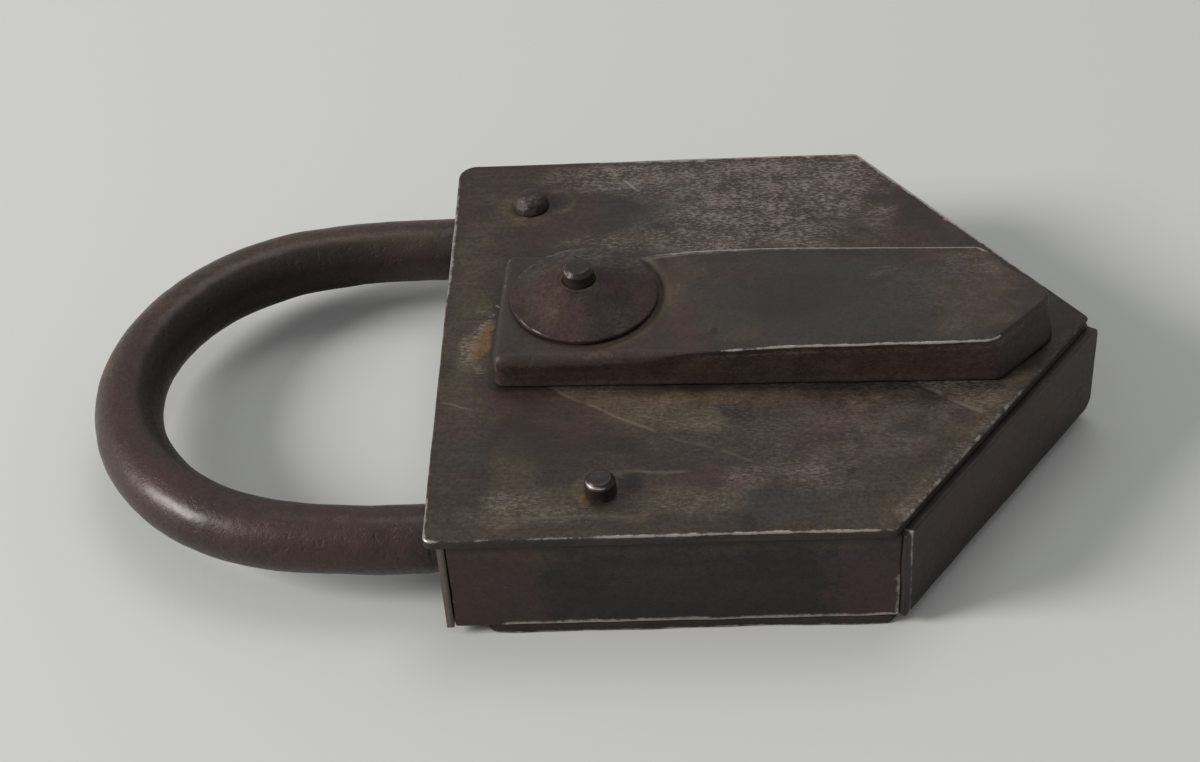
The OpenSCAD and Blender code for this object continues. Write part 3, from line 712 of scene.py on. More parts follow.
# x0, y0, x1, y1, strength
PLATE_RUBS = (
    (4, -45, 40, -45, 0.62), (-6, -45, 4, -45, 0.46), (-22, -45, -6, -45, 0.42),
    (40, -45, 46, -43, 0.35), (-22.9, -45, -22.9, -38, 0.66), (-22.9, -38, -22.9, 12, 0.4),
    (-22.9, 12, -22.9, 30, 0.6), (-22.9, 30, -22.9, 45, 0.45), (-20, 45, 3, 45, 0.22),
    (3, 45, 12, 45, 0.6), (12, 45, 30, 45, 0.68), (30, 45, 44, 45, 0.6), (46, 43, 58, 26, 0.74),
    (58, 26, 70, 9, 0.66), (45, -44.6, 64, -18, 0.45), (64, -18, 76, -2, 0.36),
    (44.5, 45, 47, 42, 0.8),
)
# x0, y0, x1, y1, half-width, strength, dust beside it, pale metal beside it
SCRATCHES = (
    (-5.6, -13.0, 11.5, -23.6, 0.42, 0.3, 0.75, 0.2),
    (11.5, -23.6, 25.8, -30.7, 0.45, 0.14, 0.2, 0),
    (50, -14.4, 59.6, -21.4, 0.6, 0.4, 0.75, 0.6), (4.8, 39.9, 7.9, 36.0, 0.4, 0.9, 0, 0),
    (-22.4, -15.2, -15.5, -17.6, 0.26, 0.35, 0, 0), (5.1, -31.7, 15.9, -31.9, 0.4, 0.16, 0, 0),
    (-13, -40.6, 11, -40.8, 0.5, 0.2, 0, 0), (23, 26.8, 32, 27.1, 0.32, 0.5, 0, 0),
    (-14.9, 7.4, -13.6, 6.4, 0.25, 0.7, 0, 0),
)


def keyhole_rim(outline, at):
    """The keyhole's edge as seen from a point inside both of its parts, towards each point
    of the outline: the further of where the ray leaves the round end and the slot."""
    ray = outline - at
    ray /= np.linalg.norm(ray, axis=1, keepdims=True)
    rel = at - POST
    b = ray @ rel
    leave_round = -b + np.sqrt(b * b - (rel @ rel - KEYHOLE_R**2))
    along, across = np.maximum(np.abs(ray), 1e-9).T
    along = np.where(ray[:, 0] > 0, SLOT_END - rel[0], rel[0]) / along
    return at + ray * np.maximum(leave_round, np.minimum(along, SLOT_HALF / across))[:, None]


def plate_marks(points, away):
    """Where dust, rust, cool grey, stains, painted shadows and rubbed metal lie on the front plate.
    """
    x, y, z = points.T
    top = smooth(z, PLATE_TOP - 1.2, PLATE_TOP - 0.5)
    # dust in a ring round the hinge rivet, and in an oval one to its right
    right, up = x - HINGE_X, y - HINGE_Y
    ring = 0.7 * smooth(np.abs(np.hypot(right + 0.4, up + 0.5) - 3.8), 1.8, 0.4)
    oval = np.abs(np.hypot((right - 4.6) / 2.4, (up - 1.0) / 2.7) - 1.05)
    quiet = 1 - 0.7 * smooth(y, 14, 26) * smooth(x, 14, 4)
    dust = np.maximum.reduce([
        blots(points, PLATE_DUST, 0.5, 5),
        stripes(points, DUST_LINES, 0.8),
        (0.14 + 0.2 * lumps(points[:, :2], 9, 17, 2)) * quiet,
        ring * smooth(right + up, 2.5, -1.5),
        0.7 * smooth(oval, 0.28, 0.08) * smooth(right, 2.5, 4.5),
    ])
    # dark stains, and with them the painted shadows of the hinge rivet's head and of the cover's
    # tip
    stains = np.maximum(blots(points, PLATE_STAINS_AND_SHADOWS), stripes(points, UNDER_COVER)) * top
    keyhole = 0.4 * (1 - smooth(reach(points, POST + (5, 0)), 6, 18))
    pale = np.maximum(blots(points, PLATE_PALE, 0.4, 5), stripes(points, PALE_LINES, 0.4))
    slope = smooth(x, 44, 47) * smooth(y, 0, -6)
    wear_and_highlight = rubbed(points, PLATE_RUBS, away, 0.27 + 0.3 * smooth(y, 0, 30) + 0.16 * slope)
    return {
        "tan": dust * top, "rust": blots(points, PLATE_RUST, 0.3, 2.5, 9) * top,
        "cool": blots(points, PLATE_COOL) * top, "pale": pale * top,
        "dark": np.maximum(stains, keyhole),
        "wear_and_highlight": np.maximum(wear_and_highlight, top * stripes(points, EDGE_FLECKS, 1.2)),
        "red": blots(points, PLATE_RED) * top,
    }


def back_marks(points):
    """Rust, dust and stains on the face that the padlock lies on."""
    z = points[:, 2]
    base = z < 0.1
    stains = ((-10, 10, 18, 14, 20, 0.8), (30, -15, 20, 12, -15, 0.7), (55, 8, 8, 10, 0, 0.6))
    dust = ((10, 25, 20, 9, -10, 0.6), (0, -28, 16, 8, 12, 0.55), (48, -4, 10, 7, 0, 0.5))
    rust = ((-14, -34, 5, 3, 0, 0.7), (22, 36, 7, 2.5, 0, 0.6), (60, -14, 4, 3, 0, 0.6))
    pale = ((20, 5, 22, 12, 15, 0.7), (-12, -6, 7, 14, 0, 0.6))
    return {
        "dark": blots(points, stains), "tan": blots(points, dust) * base,
        "rust": blots(points, rust) * base, "pale": blots(points, pale) * base,
        "wear_and_highlight": 0.6 * smooth(z, BACK_TOP, 0.9) * (np.abs(z - 0.3) < 0.25),
    }


class PADLOCK_OT_plates(bpy.types.Operator):
    """Front plate with its keyhole, and back plate"""

    bl_idname = "padlock.plates"
    bl_label = "Plates"

    def execute(self, context):
        finish, hammer = colours(), sizes().hammer / MM
        outline = resample(plan_outline("front_plate"), 640)
        hole = keyhole_rim(outline, POST + (2.6, 0))

        def top(plan):
            """The CAD height less broad hollows of the hammer's depth."""
            return PLATE_TOP - 0.02 - hammer * hollows(plan, 15, 21, 3)

        edge = sizes().plate_edge / MM
        low = box_mm("front_plate")[0][2]
        grid, away = slab(outline, hole, low, top, edge, (112, 5, 5), wobble=0.07)
        mesh, points = skin("FrontPlate", grid)
        material = iron(
            "plate iron", finish.brown, finish.deep, grain=0.95, streak=0.4, sheen=0.1,
            rough=0.5, blotch=1.0, bump_mm=0.055, brush=0.12, scratches=SCRATCHES,
        )
        marks = plate_marks(points, away)
        finish_piece("FrontPlate", mesh, "case", "front_plate", material, marks)

        outline = resample(plan_outline("back_plate"), 520)
        middle = np.mean(outline, 0, keepdims=True) + 0 * outline
        grid, _ = slab(
            outline, middle, 0.06, lambda plan: BACK_TOP + 0 * plan[:, 0], 0.3, (40, 4, 3),
            wobble=0.35, seed=4,
        )
        mesh, points = skin("BackPlate", grid[1:-1], poles=True)
        material = iron(
            "back iron", srgb(47, 38, 34), srgb(32, 27, 25), streak=0.25, sheen=0.08, bump_mm=0.12
        )
        marks = back_marks(points)
        finish_piece("BackPlate", mesh, "case", "back_plate", material, marks)
        return {"FINISHED"}


# ---------- walls ----------

# node, piece, seed of its lumps, radii of its four corners
WALLS = (
    ("near_side_wall", "NearSideWall", 31, (0.4, 0.3, 0.3, 0.4)),
    ("far_side_wall", "FarSideWall", 33, (0.4, 0.3, 0.3, 0.4)),
    ("near_point_wall", "NearPointWall", 35, (0.5, 2.2, 1.6, 0.5)),
    ("far_point_wall", "FarPointWall", 37, (0.5, 0.5, 0.5, 0.5)),
)


def wall_marks(node, local, away, low, high, length, seed):
    """Marks on a wall, by the place along its outer face, the height and the depth."""
    s, z, depth = local.T
    face = smooth(depth, -1.2, -0.5)
    if node == "near_side_wall":
        # the bright bottom edge is rubbed metal and also a painted reflection of the floor, and the
        # bright right end is worn and also a painted highlight
        rubs = ((9, low, 64, low, 0.64), (0, 2, 0, 18, 0.34), (length, 4, length, 8.5, 0.48))
        ends = 0.9 * blots(local, ((61, 9, 6, 9, 0, 1.0), (63, 15, 3, 3, 0, 0.6)))
        # painted shadow of the front plate's overhang, darkening the wall's top, laid with the dark
        # stains
        shade = 0.6 * smooth(z, high - 2.2, high - 0.6)
        return {
            "red": face * np.maximum(smooth(s + 3 * lumps(local[:, :2], 4, 3, 2), 22, 6), ends),
            "wear_and_highlight": rubbed(local, rubs, away, 0.9, 1.4),
            "tan": face * blots(local, ((30, 17.2, 34, 1.6, 0, 0.35),)),
            "cool": face * blots(local, ((34, 10, 15, 7, 0, 0.4),)),
            "dark": face * np.maximum(blots(local, ((34, 6, 24, 5, 0, 0.3),)), shade),
        }
    if node == "near_point_wall":
        rubs = ((0, 4, 0, 17, 0.3), (4, high, length, high, 0.22))
        # a painted highlight near the wall's end: a bright line from top to bottom, kept in the
        # wear mark
        line = 0.68 * bell(s - 1.5, 0.45) * (0.8 + 0.2 * smooth(z, 10, 14)) * smooth(z, 20, 18)
        return {
            "wear_and_highlight": rubbed(local, rubs, away, 0.3, 1.0) + line,
            "dark": face * (0.75 * smooth(z, 6.5, 3.5) + 0.4 * smooth(s, 6, 2)),
            "tan": face * blots(local, ((22, 13, 14, 5, 0, 0.32), (46, 13, 9, 5, 0, 0.4))),
            "red": face * blots(local, ((30, 11, 26, 9, 0, 0.55),)),
        }
    rubs = ((0, low, length, low, 0.5), (0, high, length, high, 0.3))
    dust = ((length / 3, 8, 14, 4, 5, 0.5), (length * 0.8, 14, 8, 3, 0, 0.5))
    return {
        "red": face * np.clip(0.3 + 0.6 * lumps(local, 14, seed), 0, 1),
        "wear_and_highlight": rubbed(local, rubs, away, 0.34, 0.9),
        "tan": face * blots(local, dust),
        "dark": face * blots(local, ((length / 2, 12, 12, 5, 0, 0.5),)),
    }


class PADLOCK_OT_walls(bpy.types.Operator):
    """Side and point walls between the plates"""

    bl_idname = "padlock.walls"
    bl_label = "Walls"

    def execute(self, context):
        plain = iron(
            "wall iron", srgb(33, 30, 30), srgb(27, 24, 24), grain=0.6, streak=0.4, sheen=0.04,
            rough=0.53, bump_mm=0.06,
        )
        even = iron(
            "point wall iron", srgb(51, 41, 37), srgb(43, 34, 31), grain=0.4, streak=0.5,
            sheen=0.08, rough=0.5, bump_mm=0.03,
        )
        for node, name, seed, corners in WALLS:
            low, high = (corner[2] for corner in box_mm(node))
            start, along, out, length, thick, mitre = wall_plane(node)
            face = [(0, low), (length, low), (length, high), (0, high)]
            outline = resample(round_corners(face, corners), 460)
            spine = np.stack([
                np.clip(outline[:, 0], 8, length - 8), 0 * outline[:, 0] + (low + high) / 2
            ], -1)

            def hammered_face(plan, seed=seed):
                """The outer face, less broad hollows."""
                return -0.14 * hollows(plan, 12, seed, 3)

            local, away = slab(
                outline, spine, -thick, hammered_face, 0.28, (26, 5, 4), wobble=0.14, seed=seed
            )
            # the ends slant with depth, so that each wall meets the next in a mitre
            run, height, out_by = np.moveaxis(local, -1, 0)
            slant = mitre[0] * smooth(run, 6, 0) + mitre[1] * smooth(run, length - 6, length)
            run += np.clip(-out_by / thick, 0, 1) * slant
            plan = start + run[..., None] * along + out_by[..., None] * out
            mesh, _ = skin(name, np.concatenate([plan, height[..., None]], -1))
            marks = wall_marks(node, local.reshape(-1, 3), away, low, high, length, seed)
            material = even if "point" in node else plain
            finish_piece(name, mesh, "case", node, material, marks)
        return {"FINISHED"}


# ---------- shackle ----------


def shackle_line(near_end, crown, step=0.45):
    """Centre line of the shackle from the near leg's end to the hinge: straight leg, flat
    arc, tight arc, flat arc, straight leg. Returns plan points and unit tangents."""
    bow = BEND_X - crown
    flat = math.radians(12)
    gap = (bow - LEG_Y) / (math.cos(flat) + math.sin(flat) - 1)
    tight_r, flat_r = bow - gap * math.sin(flat), LEG_Y + gap * math.cos(flat)
    parts = []

    def line(x0, x1, y, sign):
        x = np.linspace(x0, x1, max(2, int(abs(x1 - x0) / step)), endpoint=False)
        parts.append((np.stack([x, 0 * x + y], -1), np.tile([sign, 0.0], (len(x), 1))))

    def arc(x, y, radius, start, sweep):
        count = int(radius * abs(sweep) / step)
        a = start + np.arange(count) / count * sweep
        place = (x, y) + radius * np.stack([np.cos(a), np.sin(a)], -1)
        parts.append((place, np.stack([np.sin(a), -np.cos(a)], -1)))

    line(near_end, BEND_X, -LEG_Y, -1.0)
    arc(BEND_X, flat_r - LEG_Y, flat_r, -QUARTER, -flat)
    arc(BEND_X - bow + tight_r, 0.0, tight_r, -QUARTER - flat, -(math.pi - 2 * flat))
    arc(BEND_X, LEG_Y - flat_r, flat_r, QUARTER + flat, -flat)
    line(BEND_X, HINGE_X - 2.0, LEG_Y, 1.0)
    return np.concatenate([p for p, _ in parts]), np.concatenate([t for _, t in parts])


def shackle_bar(line, tangent, end_x):
    """The round bar along its centre line, lumpy outside the case, with the notch for the
    bolt in its near leg, a flattened neck before the eye, and rounded ends."""
    x, y = line.T
    normal = np.stack([-tangent[:, 1], tangent[:, 0]], -1)
    angle = np.arange(120) / 120 * 2 * math.pi
    # thicker at the crown and thinner in the case
    inside = smooth(x, CASE_X - 0.9, CASE_X)
    radius = BAR_R + CROWN_GAIN * smooth(x, -32, -62) - 0.3 * inside
    outwards = np.stack([
        np.cos(angle) * normal[:, :1], np.cos(angle) * normal[:, 1:],
        np.sin(angle) + 0 * x[:, None],
    ], -1)
    middle = np.stack([x, y, 0 * x + BAR_Z], -1)[:, None]
    bar = middle + radius[:, None, None] * outwards
    dents = hollows(bar, 7, 41, 2) + 0.5 * hollows(bar, 2.2, 43, 2)
    dents = sizes().bar_lumps / MM * dents * (1 - inside)[:, None]
    bar = bar - outwards * dents[..., None]
    notch = (x > -11.65) & (x < -5.3) & (y < 0)
    notch_floor = -LEG_Y + BAR_R - 4.6
    bar[notch, :, 1] = np.minimum(bar[notch, :, 1], notch_floor)
    neck = smooth(x, HINGE_X - 6.3, HINGE_X - 5.3) * (y > 0)
    flat = np.clip(bar[..., 2], BAR_Z - EYE_HALF, BAR_Z + EYE_HALF)
    bar[..., 2] += (flat - bar[..., 2]) * neck[:, None]
    caps = [
        np.stack([
            end.mean(0) + (end - end.mean(0)) * math.cos(t) + (0.6 * math.sin(t), 0, 0)
            for t in (0.5, 0.9, 1.2, 1.45)
        ]) for end in (bar[0], bar[-1])
    ]
    caps[0][..., 0] = np.minimum(caps[0][..., 0], end_x)
    return np.concatenate([caps[0][::-1], bar, caps[1]])


class PADLOCK_OT_shackle(bpy.types.Operator):
    """Round forged shackle with the bolt's notch and the hinge's eye"""

    bl_idname = "padlock.shackle"
    bl_label = "Shackle"

    def execute(self, context):
        low, high = box_mm("shackle")
        line, tangent = shackle_line(high[0], low[0] + BAR_R + CROWN_GAIN)
        bar, _ = skin("bar", shackle_bar(line, tangent, high[0]), poles=True)
        over, under = BAR_Z + EYE_HALF, BAR_Z - EYE_HALF
        ring = fillet([
            (EYE_R, BAR_Z), (EYE_R, over), (EYE_BORE, over), (EYE_BORE, under), (EYE_R, under),
            (EYE_R, BAR_Z),
        ], (0.6, 0.25, 0.25, 0.6))
        eye, _ = skin("eye", lathe(refine(ring, 0.9)[:-1], HINGE, 96))
        rod = [(r, BAR_Z + z) for r, z in ((0.001, -7), (EYE_BORE, -7), (EYE_BORE, 7), (0.001, 7))]
        drill, _ = skin("drill", lathe(rod, HINGE, 96), poles=True)
        # the hinge's hole is cut through the bar, and the eye's ring is joined to it
        shapes = [bpy.data.objects.new(shape.name, shape) for shape in (bar, eye, drill)]
        for shape in shapes:
            bpy.context.scene.collection.objects.link(shape)
        for other, operation in ((shapes[2], "DIFFERENCE"), (shapes[1], "UNION")):
            boolean = shapes[0].modifiers.new(operation, "BOOLEAN")
            boolean.operation, boolean.object, boolean.solver = operation, other, "EXACT"
        depsgraph = bpy.context.evaluated_depsgraph_get()
        joined = shapes[0].evaluated_get(depsgraph)
        mesh = bpy.data.meshes.new_from_object(joined, depsgraph=depsgraph)
        for shape in shapes:
            bpy.data.objects.remove(shape)
        mesh.name = "Shackle"
        mesh.polygons.foreach_set("use_smooth", np.ones(len(mesh.polygons), bool))

        points = mesh_points(mesh).astype(float) / MM
        x, y, z = points.T
        # how far towards the inside of the bow a point lies, as a share of the bar's radius
        bend = -29.8
        bow = line[line[:, 0] < bend - 0.2] - (bend, 0)
        bow_line = np.interp(
            np.arctan2(y, bend - x), np.arctan2(bow[:, 1], -bow[:, 0]), np.hypot(*bow.T)
        )
        inner = np.where(x < bend, bow_line - np.hypot(x - bend, y), LEG_Y - np.abs(y)) / 5.4
        inner_shade_weight = 0.4 + 0.7 * smooth(x, -30, -48) * smooth(y, -25, -10)
        marks = {
            "red": np.clip(0.62 + 0.3 * lumps(points, 12, 47, 2), 0, 1) * smooth(x, -16, -28),
            "rust": 0.5 * smooth(lumps(points, 12, 49, 2), -0.7, 0.5) * smooth(x, -50, -68)
            * smooth(inner, 0.0, -0.6) * smooth(y, -14, 2),
            # painted shade: the bar's lower half and the inside of the bow are darker
            "dark": np.maximum(0.7 * smooth(z, 9, 5), smooth(inner, 0.2, 0.65) * inner_shade_weight),
            "tan": 0.24 * smooth(z, 12, 15) * smooth(y, -5, 20),
        }
        material = iron(
            "shackle iron", srgb(46, 34, 32), srgb(37, 27, 26), grain=0.9, sheen=0.05, rough=0.45,
            blotch=0.8, bump_mm=0.15, gloss=0.22, oiled=0.3,
        )
        finish_piece("Shackle", mesh, "shackle", "shackle", material, marks)
        return {"FINISHED"}


# ---------- rivets ----------


def hammered(grid, centre, radius, planes, seed):
    """Cuts flats into a round head: each point is drawn in towards the centre until it lies
    inside every one of a number of planes of random direction."""
    rng = np.random.default_rng(seed)
    way = rng.normal(size=(planes, 3))
    way[:, 2] = np.abs(way[:, 2]) * 0.8
    way /= np.linalg.norm(way, axis=1, keepdims=True)
    depth = radius * rng.uniform(0.955, 0.995, planes)
    rel = grid - centre
    past = (rel @ way.T / depth).max(-1)
    return centre + rel / np.maximum(1.0, past)[..., None]


def domed_rivet(top_z, head_r=3.1, shank_r=2.5):
    """The hinge rivet: a burr and a shank, then a cap of a sphere cut by flats."""
    head_h, plate = top_z - PLATE_TOP, PLATE_TOP - 0.1
    cap_r = (head_r**2 + head_h**2) / (2 * head_h)
    arc = np.linspace(math.asin(min(1, head_r / cap_r)), 0.02, 26)
    cap = np.stack([cap_r * np.sin(arc), top_z - cap_r + cap_r * np.cos(arc)], -1)
    shank = np.array([
        (0.05, 0.0), (3.2, 0.0), (3.35, 0.08), (shank_r, 1.1), (shank_r, plate),
        (2.9, plate + 0.05),
    ])
    grid = lathe(np.concatenate([refine(shank, 2.0), cap]), HINGE, 96)
    cut = hammered(grid, np.array([*HINGE, top_z - cap_r]), cap_r, 22, 61)
    return np.where(grid[..., 2:] > PLATE_TOP, cut, grid)


# node, piece, what it stands up from, radius, dish in its top, rubbing on its rim
FLAT_RIVETS = (
    ("stop_rivet", "StopRivet", "front_plate", 2.35, 0.12, 0.6),
    ("cover_pivot", "CoverPivot", "cover_washer", 2.5, 0.1, 0.34),
)


class PADLOCK_OT_rivets(bpy.types.Operator):
    """Hinge rivet with its hammered head, stop rivet and the cover's pivot"""

    bl_idname = "padlock.rivets"
    bl_label = "Rivets"

    def execute(self, context):
        grid = domed_rivet(box_mm("hinge_rivet")[1][2])
        mesh, points = skin("HingeRivet", grid, poles=True)
        x, _, z = points.T
        marks = {
            "dark": 0.5 * smooth(z, PLATE_TOP + 0.9, PLATE_TOP),
            "pale": 0.3 * smooth(lumps(points, 1.5, 63, 2), -0.1, 0.5) * (z > PLATE_TOP + 0.7),
            "rust": 0.35 * smooth(HINGE_X - x, 1.2, 2.8) * smooth(z, PLATE_TOP + 1.0, PLATE_TOP),
        }
        material = iron(
            "dome iron", srgb(52, 41, 39), srgb(36, 29, 28), grain=1.1, sheen=0.08, rough=0.5,
            bump_mm=0.12, gloss=0.3,
        )
        finish_piece("HingeRivet", mesh, "case", "hinge_rivet", material, marks)

        material = iron(
            "rivet iron", srgb(46, 37, 35), srgb(35, 28, 27), grain=0.7, sheen=0.2, rough=0.42,
            bump_mm=0.05,
        )
        for node, name, round_it, radius, dish, rub in FLAT_RIVETS:
            foot, top_z = (corner[2] for corner in box_mm(node))
            base = box_mm(round_it)[1][2]
            if node == "stop_rivet":
                start = [(0.05, 0.0), (radius + 0.8, 0.0), (radius + 0.9, 0.08), (radius, 1.1)]
            else:
                start = [(0.05, foot), (radius - 0.2, foot), (radius, foot + 0.2)]
            outline = start + [
                (radius, top_z - 0.75), (radius - 0.6, top_z - 0.04), (radius - 0.9, top_z),
                (0.05, top_z - dish),
            ]
            radii = [0.1] * (len(start) - 2) + [0.05, 0.25, 0.15, 0.3]
            middle = middle_mm(node)
            grid = lathe(refine(fillet(outline, radii), 0.35), middle, 88)
            # dents in the part that stands up
            from_line = reach(grid, middle)[..., None]
            out = (grid[..., :2] - middle) / np.maximum(from_line, 1e-6)
            dent = 0.13 * smooth(grid[..., 2], base, base + 0.8) * hollows(grid, 1.8, 65, 2)
            grid[..., :2] -= out * dent[..., None] * smooth(from_line, 0.5, 2.0)
            mesh, points = skin(name, grid, poles=True)
            z, from_line = points[:, 2], reach(points, middle)
            # how far a place faces the near left, where the rims are rubbed and rust gathers
            facing = (middle - points[:, :2]) @ (0.62, 0.78) / np.maximum(from_line, 0.1)
            rim = bell(from_line - radius + 0.3, 0.17) * (z > top_z - 1.1)
            marks = {
                "wear_and_highlight": rim * (0.2 + rub * smooth(facing, 0.1, 0.9)),
                "cool": 0.5 * (from_line < radius - 0.7) * (z > top_z - 1),
                "dark": 0.5 * smooth(z, top_z - 2.2, top_z - 3.6),
                "rust": 0.5 * smooth(facing, 0.4, 0.9) * smooth(z, PLATE_TOP + 0.9, PLATE_TOP),
            }
            finish_piece(name, mesh, "case", node, material, marks)
        return {"FINISHED"}


# ---------- cover ----------

# x0, y0, x1, y1, strength, from the pivot along the bar, as are the cover's ovals
COVER_RUBS = (
    (30, -13.6, 62, -13.1, 0.68), (24, -13.8, 29, -13.6, 0.54), (14, -14.3, 21, -13.9, 0.3),
    (13, 10.7, 61, 9.6, 0.7), (7, 10.9, 13, 10.7, 0.5), (-12.7, -15, 12, -14.6, 0.22),
    (-12.7, -14, -12.7, 10, 0.36), (-12.7, 11, -2, 11, 0.36), (63, -13.2, 72, -4, 0.34),
    (61, 9.6, 71, -1, 0.25),
)
COVER_COOL = ((37, -1, 18, 11, 0, 1.0), (46, -4, 11, 7, 0, 0.8), (-12, -6, 2.5, 7, 0, 0.6))
COVER_STAINS = (
    (21, -9.5, 0.5, 0.7, 0, 1.2), (32, -2, 9, 7, 0, 0.5), (12.3, -1, 1.2, 12, 0, 0.5),
    (45, 2, 4, 2, 30, 0.4),
)
COVER_RED = (
    (15, -3, 7, 12, 0, 0.9), (60, 0, 7, 10, 0, 0.6), (25, 4, 5, 5, 0, 0.6),
    (0, -12, 12, 3, 0, 0.6), (54, 6, 4, 4, 0, 0.5),
)
COVER_RUST = ((65, 1, 5, 6, 20, 0.1), (15.1, 0.8, 1.2, 2.4, 0, 0.4), (5, -13.6, 5, 0.7, 0, 0.35))
COVER_DUST = (
    (63.5, 2, 4, 5, 0, 0.5), (61, -6.5, 4, 3, 0, 0.4), (24, -8, 5, 4, 0, 0.5),
    (17, 3, 4, 6, 0, 0.4), (57, -6, 4, 6, 0, 0.4),
)
COVER_PALE = ((47, 4, 3.4, 0.9, 35, 0.28), (57, 0, 8, 10, 0, 0.12), (60, 6, 5, 4, 0, 0.3))


def along_cover(points):
    """Places in the cover's own frame: from the pivot, x along the bar."""
    c, s = math.cos(BAR_TILT), math.sin(BAR_TILT)
    rel = points[..., :2] - PIVOT
    return rel[..., 0] * c - rel[..., 1] * s, rel[..., 0] * s + rel[..., 1] * c


def cover_thickness():
    """Places along the bar and its thickness there: even under the washer, then swelling to
    the shoulders, with the bends smoothed by a bell."""
    at = np.linspace(-14, 76, 400)
    thick = np.interp(at, (-14.0, 0.0, 32.0, 61.6, 76.0), (SEAT_T, SEAT_T, 7.4, 7.9, 7.9))
    kernel = bell(np.linspace(-2, 2, 41), 1)
    return at, np.convolve(np.pad(thick, 20, mode="edge"), kernel / kernel.sum(), mode="valid")


def cover_outline():
    """The bar's outline, with the corners of its tail and tip worn round by a running mean."""
    outline = resample(plan_outline("cover_bar"), 640)
    shifts = np.arange(-9, 10)
    weights = bell(shifts, 3.4)
    worn = sum(w * np.roll(outline, k, 0) for k, w in zip(shifts, weights / weights.sum()))
    u, _ = along_cover(outline)
    ends = np.maximum(smooth(u, -6.5, -9), smooth(u, 66, 69))
    return outline + (worn - outline) * ends[:, None]


def cover_marks(points, away, thickness):
    """Marks on the cover's bar, by the place along it (a), across it (b) and the height."""
    a, b = along_cover(points)
    z = points[:, 2]
    local = np.stack([a, b, z], -1)
    side = smooth(COVER_LOW + np.interp(a, *thickness) - z, 0.6, 1.4)
    face = 1 - side
    # painted highlight: a pale band on the near side just under the top edge, where a wider
    # rounding would catch the light
    bevel_highlight = bell(away - 0.9, 0.5) * side * smooth(a, 10, 24) * (b < -8)
    # painted highlight: a broad pale and tan band along the top of the far edge
    far_edge_highlight = bell(away - 1.0, 0.8) * (b > 0) * smooth(a, 6, 14) * smooth(a, 64, 28)
    # painted highlight: tan along the washer recess's outer slope, which catches the light
    ring = 0.65 * bell(reach(points, WASHER) - 13.1, 0.65) * smooth(a, 2, 7)
    corner = 0.8 * bell(np.hypot(a + 12.4, b + 14.6), math.sqrt(0.8))
    # on the far side (b > 0) the wider band is partly rubbed metal and partly a painted highlight
    # on the rounded far edge
    wear_and_highlight = rubbed(local, COVER_RUBS, away, 0.26 + 0.5 * (b > 0), 1.0 + 0.8 * (b > 0))
    # painted shade: the tip's sides and the point's end are darker, on the faces turned from the
    # lamp
    tip = side * smooth(a, 61.5, 64)
    side = side - 0.6 * tip
    foot = smooth(COVER_LOW + 1.4 - z, 0, 1.0) * smooth(b, -12, -14)
    return {
        "wear_and_highlight": np.maximum(wear_and_highlight, corner * smooth(z, COVER_LOW + 1.2, COVER_LOW + 3)),
        "cool": face * blots(local, COVER_COOL, 0.3, 6),
        "dark": 0.5 * tip + 0.6 * side * smooth(a, 69.5, 72) + face * blots(local, COVER_STAINS),
        "red": np.maximum(face * blots(local, COVER_RED), 0.85 * side),
        "rust": face * blots(local, COVER_RUST, 0.5, 3) + 0.16 * foot,
        "tan": 0.15 * side + face * (ring + 0.4 * far_edge_highlight + blots(local, COVER_DUST, 0.5, 4)),
        "pale": 0.1 * side + 0.5 * bevel_highlight + 0.6 * far_edge_highlight + face * blots(local, COVER_PALE, 0.4, 3),
    }


def washer_grid(base, peak):
    """The domed washer, with hollows over its top, its rim a little uneven, and its rim's
    circle slipped from the middle of its hole."""
    profile = fillet([
        (COVER_BORE, peak - 1.6), (9.95, base), (WASHER_R, base), (WASHER_R, base + 0.8),
        (3.5, peak - 0.1), (COVER_BORE, peak), (COVER_BORE, peak - 1.6),
    ], (0.3, 0.3, 0.3, 0.6, 0.2))
    grid = lathe(refine(profile, 0.3)[:-1], PIVOT, 220)
    rel = grid[..., :2] - PIVOT
    from_pivot = reach(grid, PIVOT)
    under = base + 0.4 + (peak - base) * (WASHER_R - from_pivot) / 9.0 * 0.55
    grid[..., 2] -= 0.16 * smooth(grid[..., 2] - under, -0.2, 0.4) * hollows(grid, 3.6, 81, 2)
    shrink = 1 - 0.014 * smooth(from_pivot, 9, 11.5) * hollows(grid, 5, 83, 2)
    slip = np.clip((from_pivot - 3.5) / 8, 0, 1)[..., None]
    grid[..., :2] = PIVOT + rel * shrink[..., None] + WASHER_SLIP * slip
    return grid


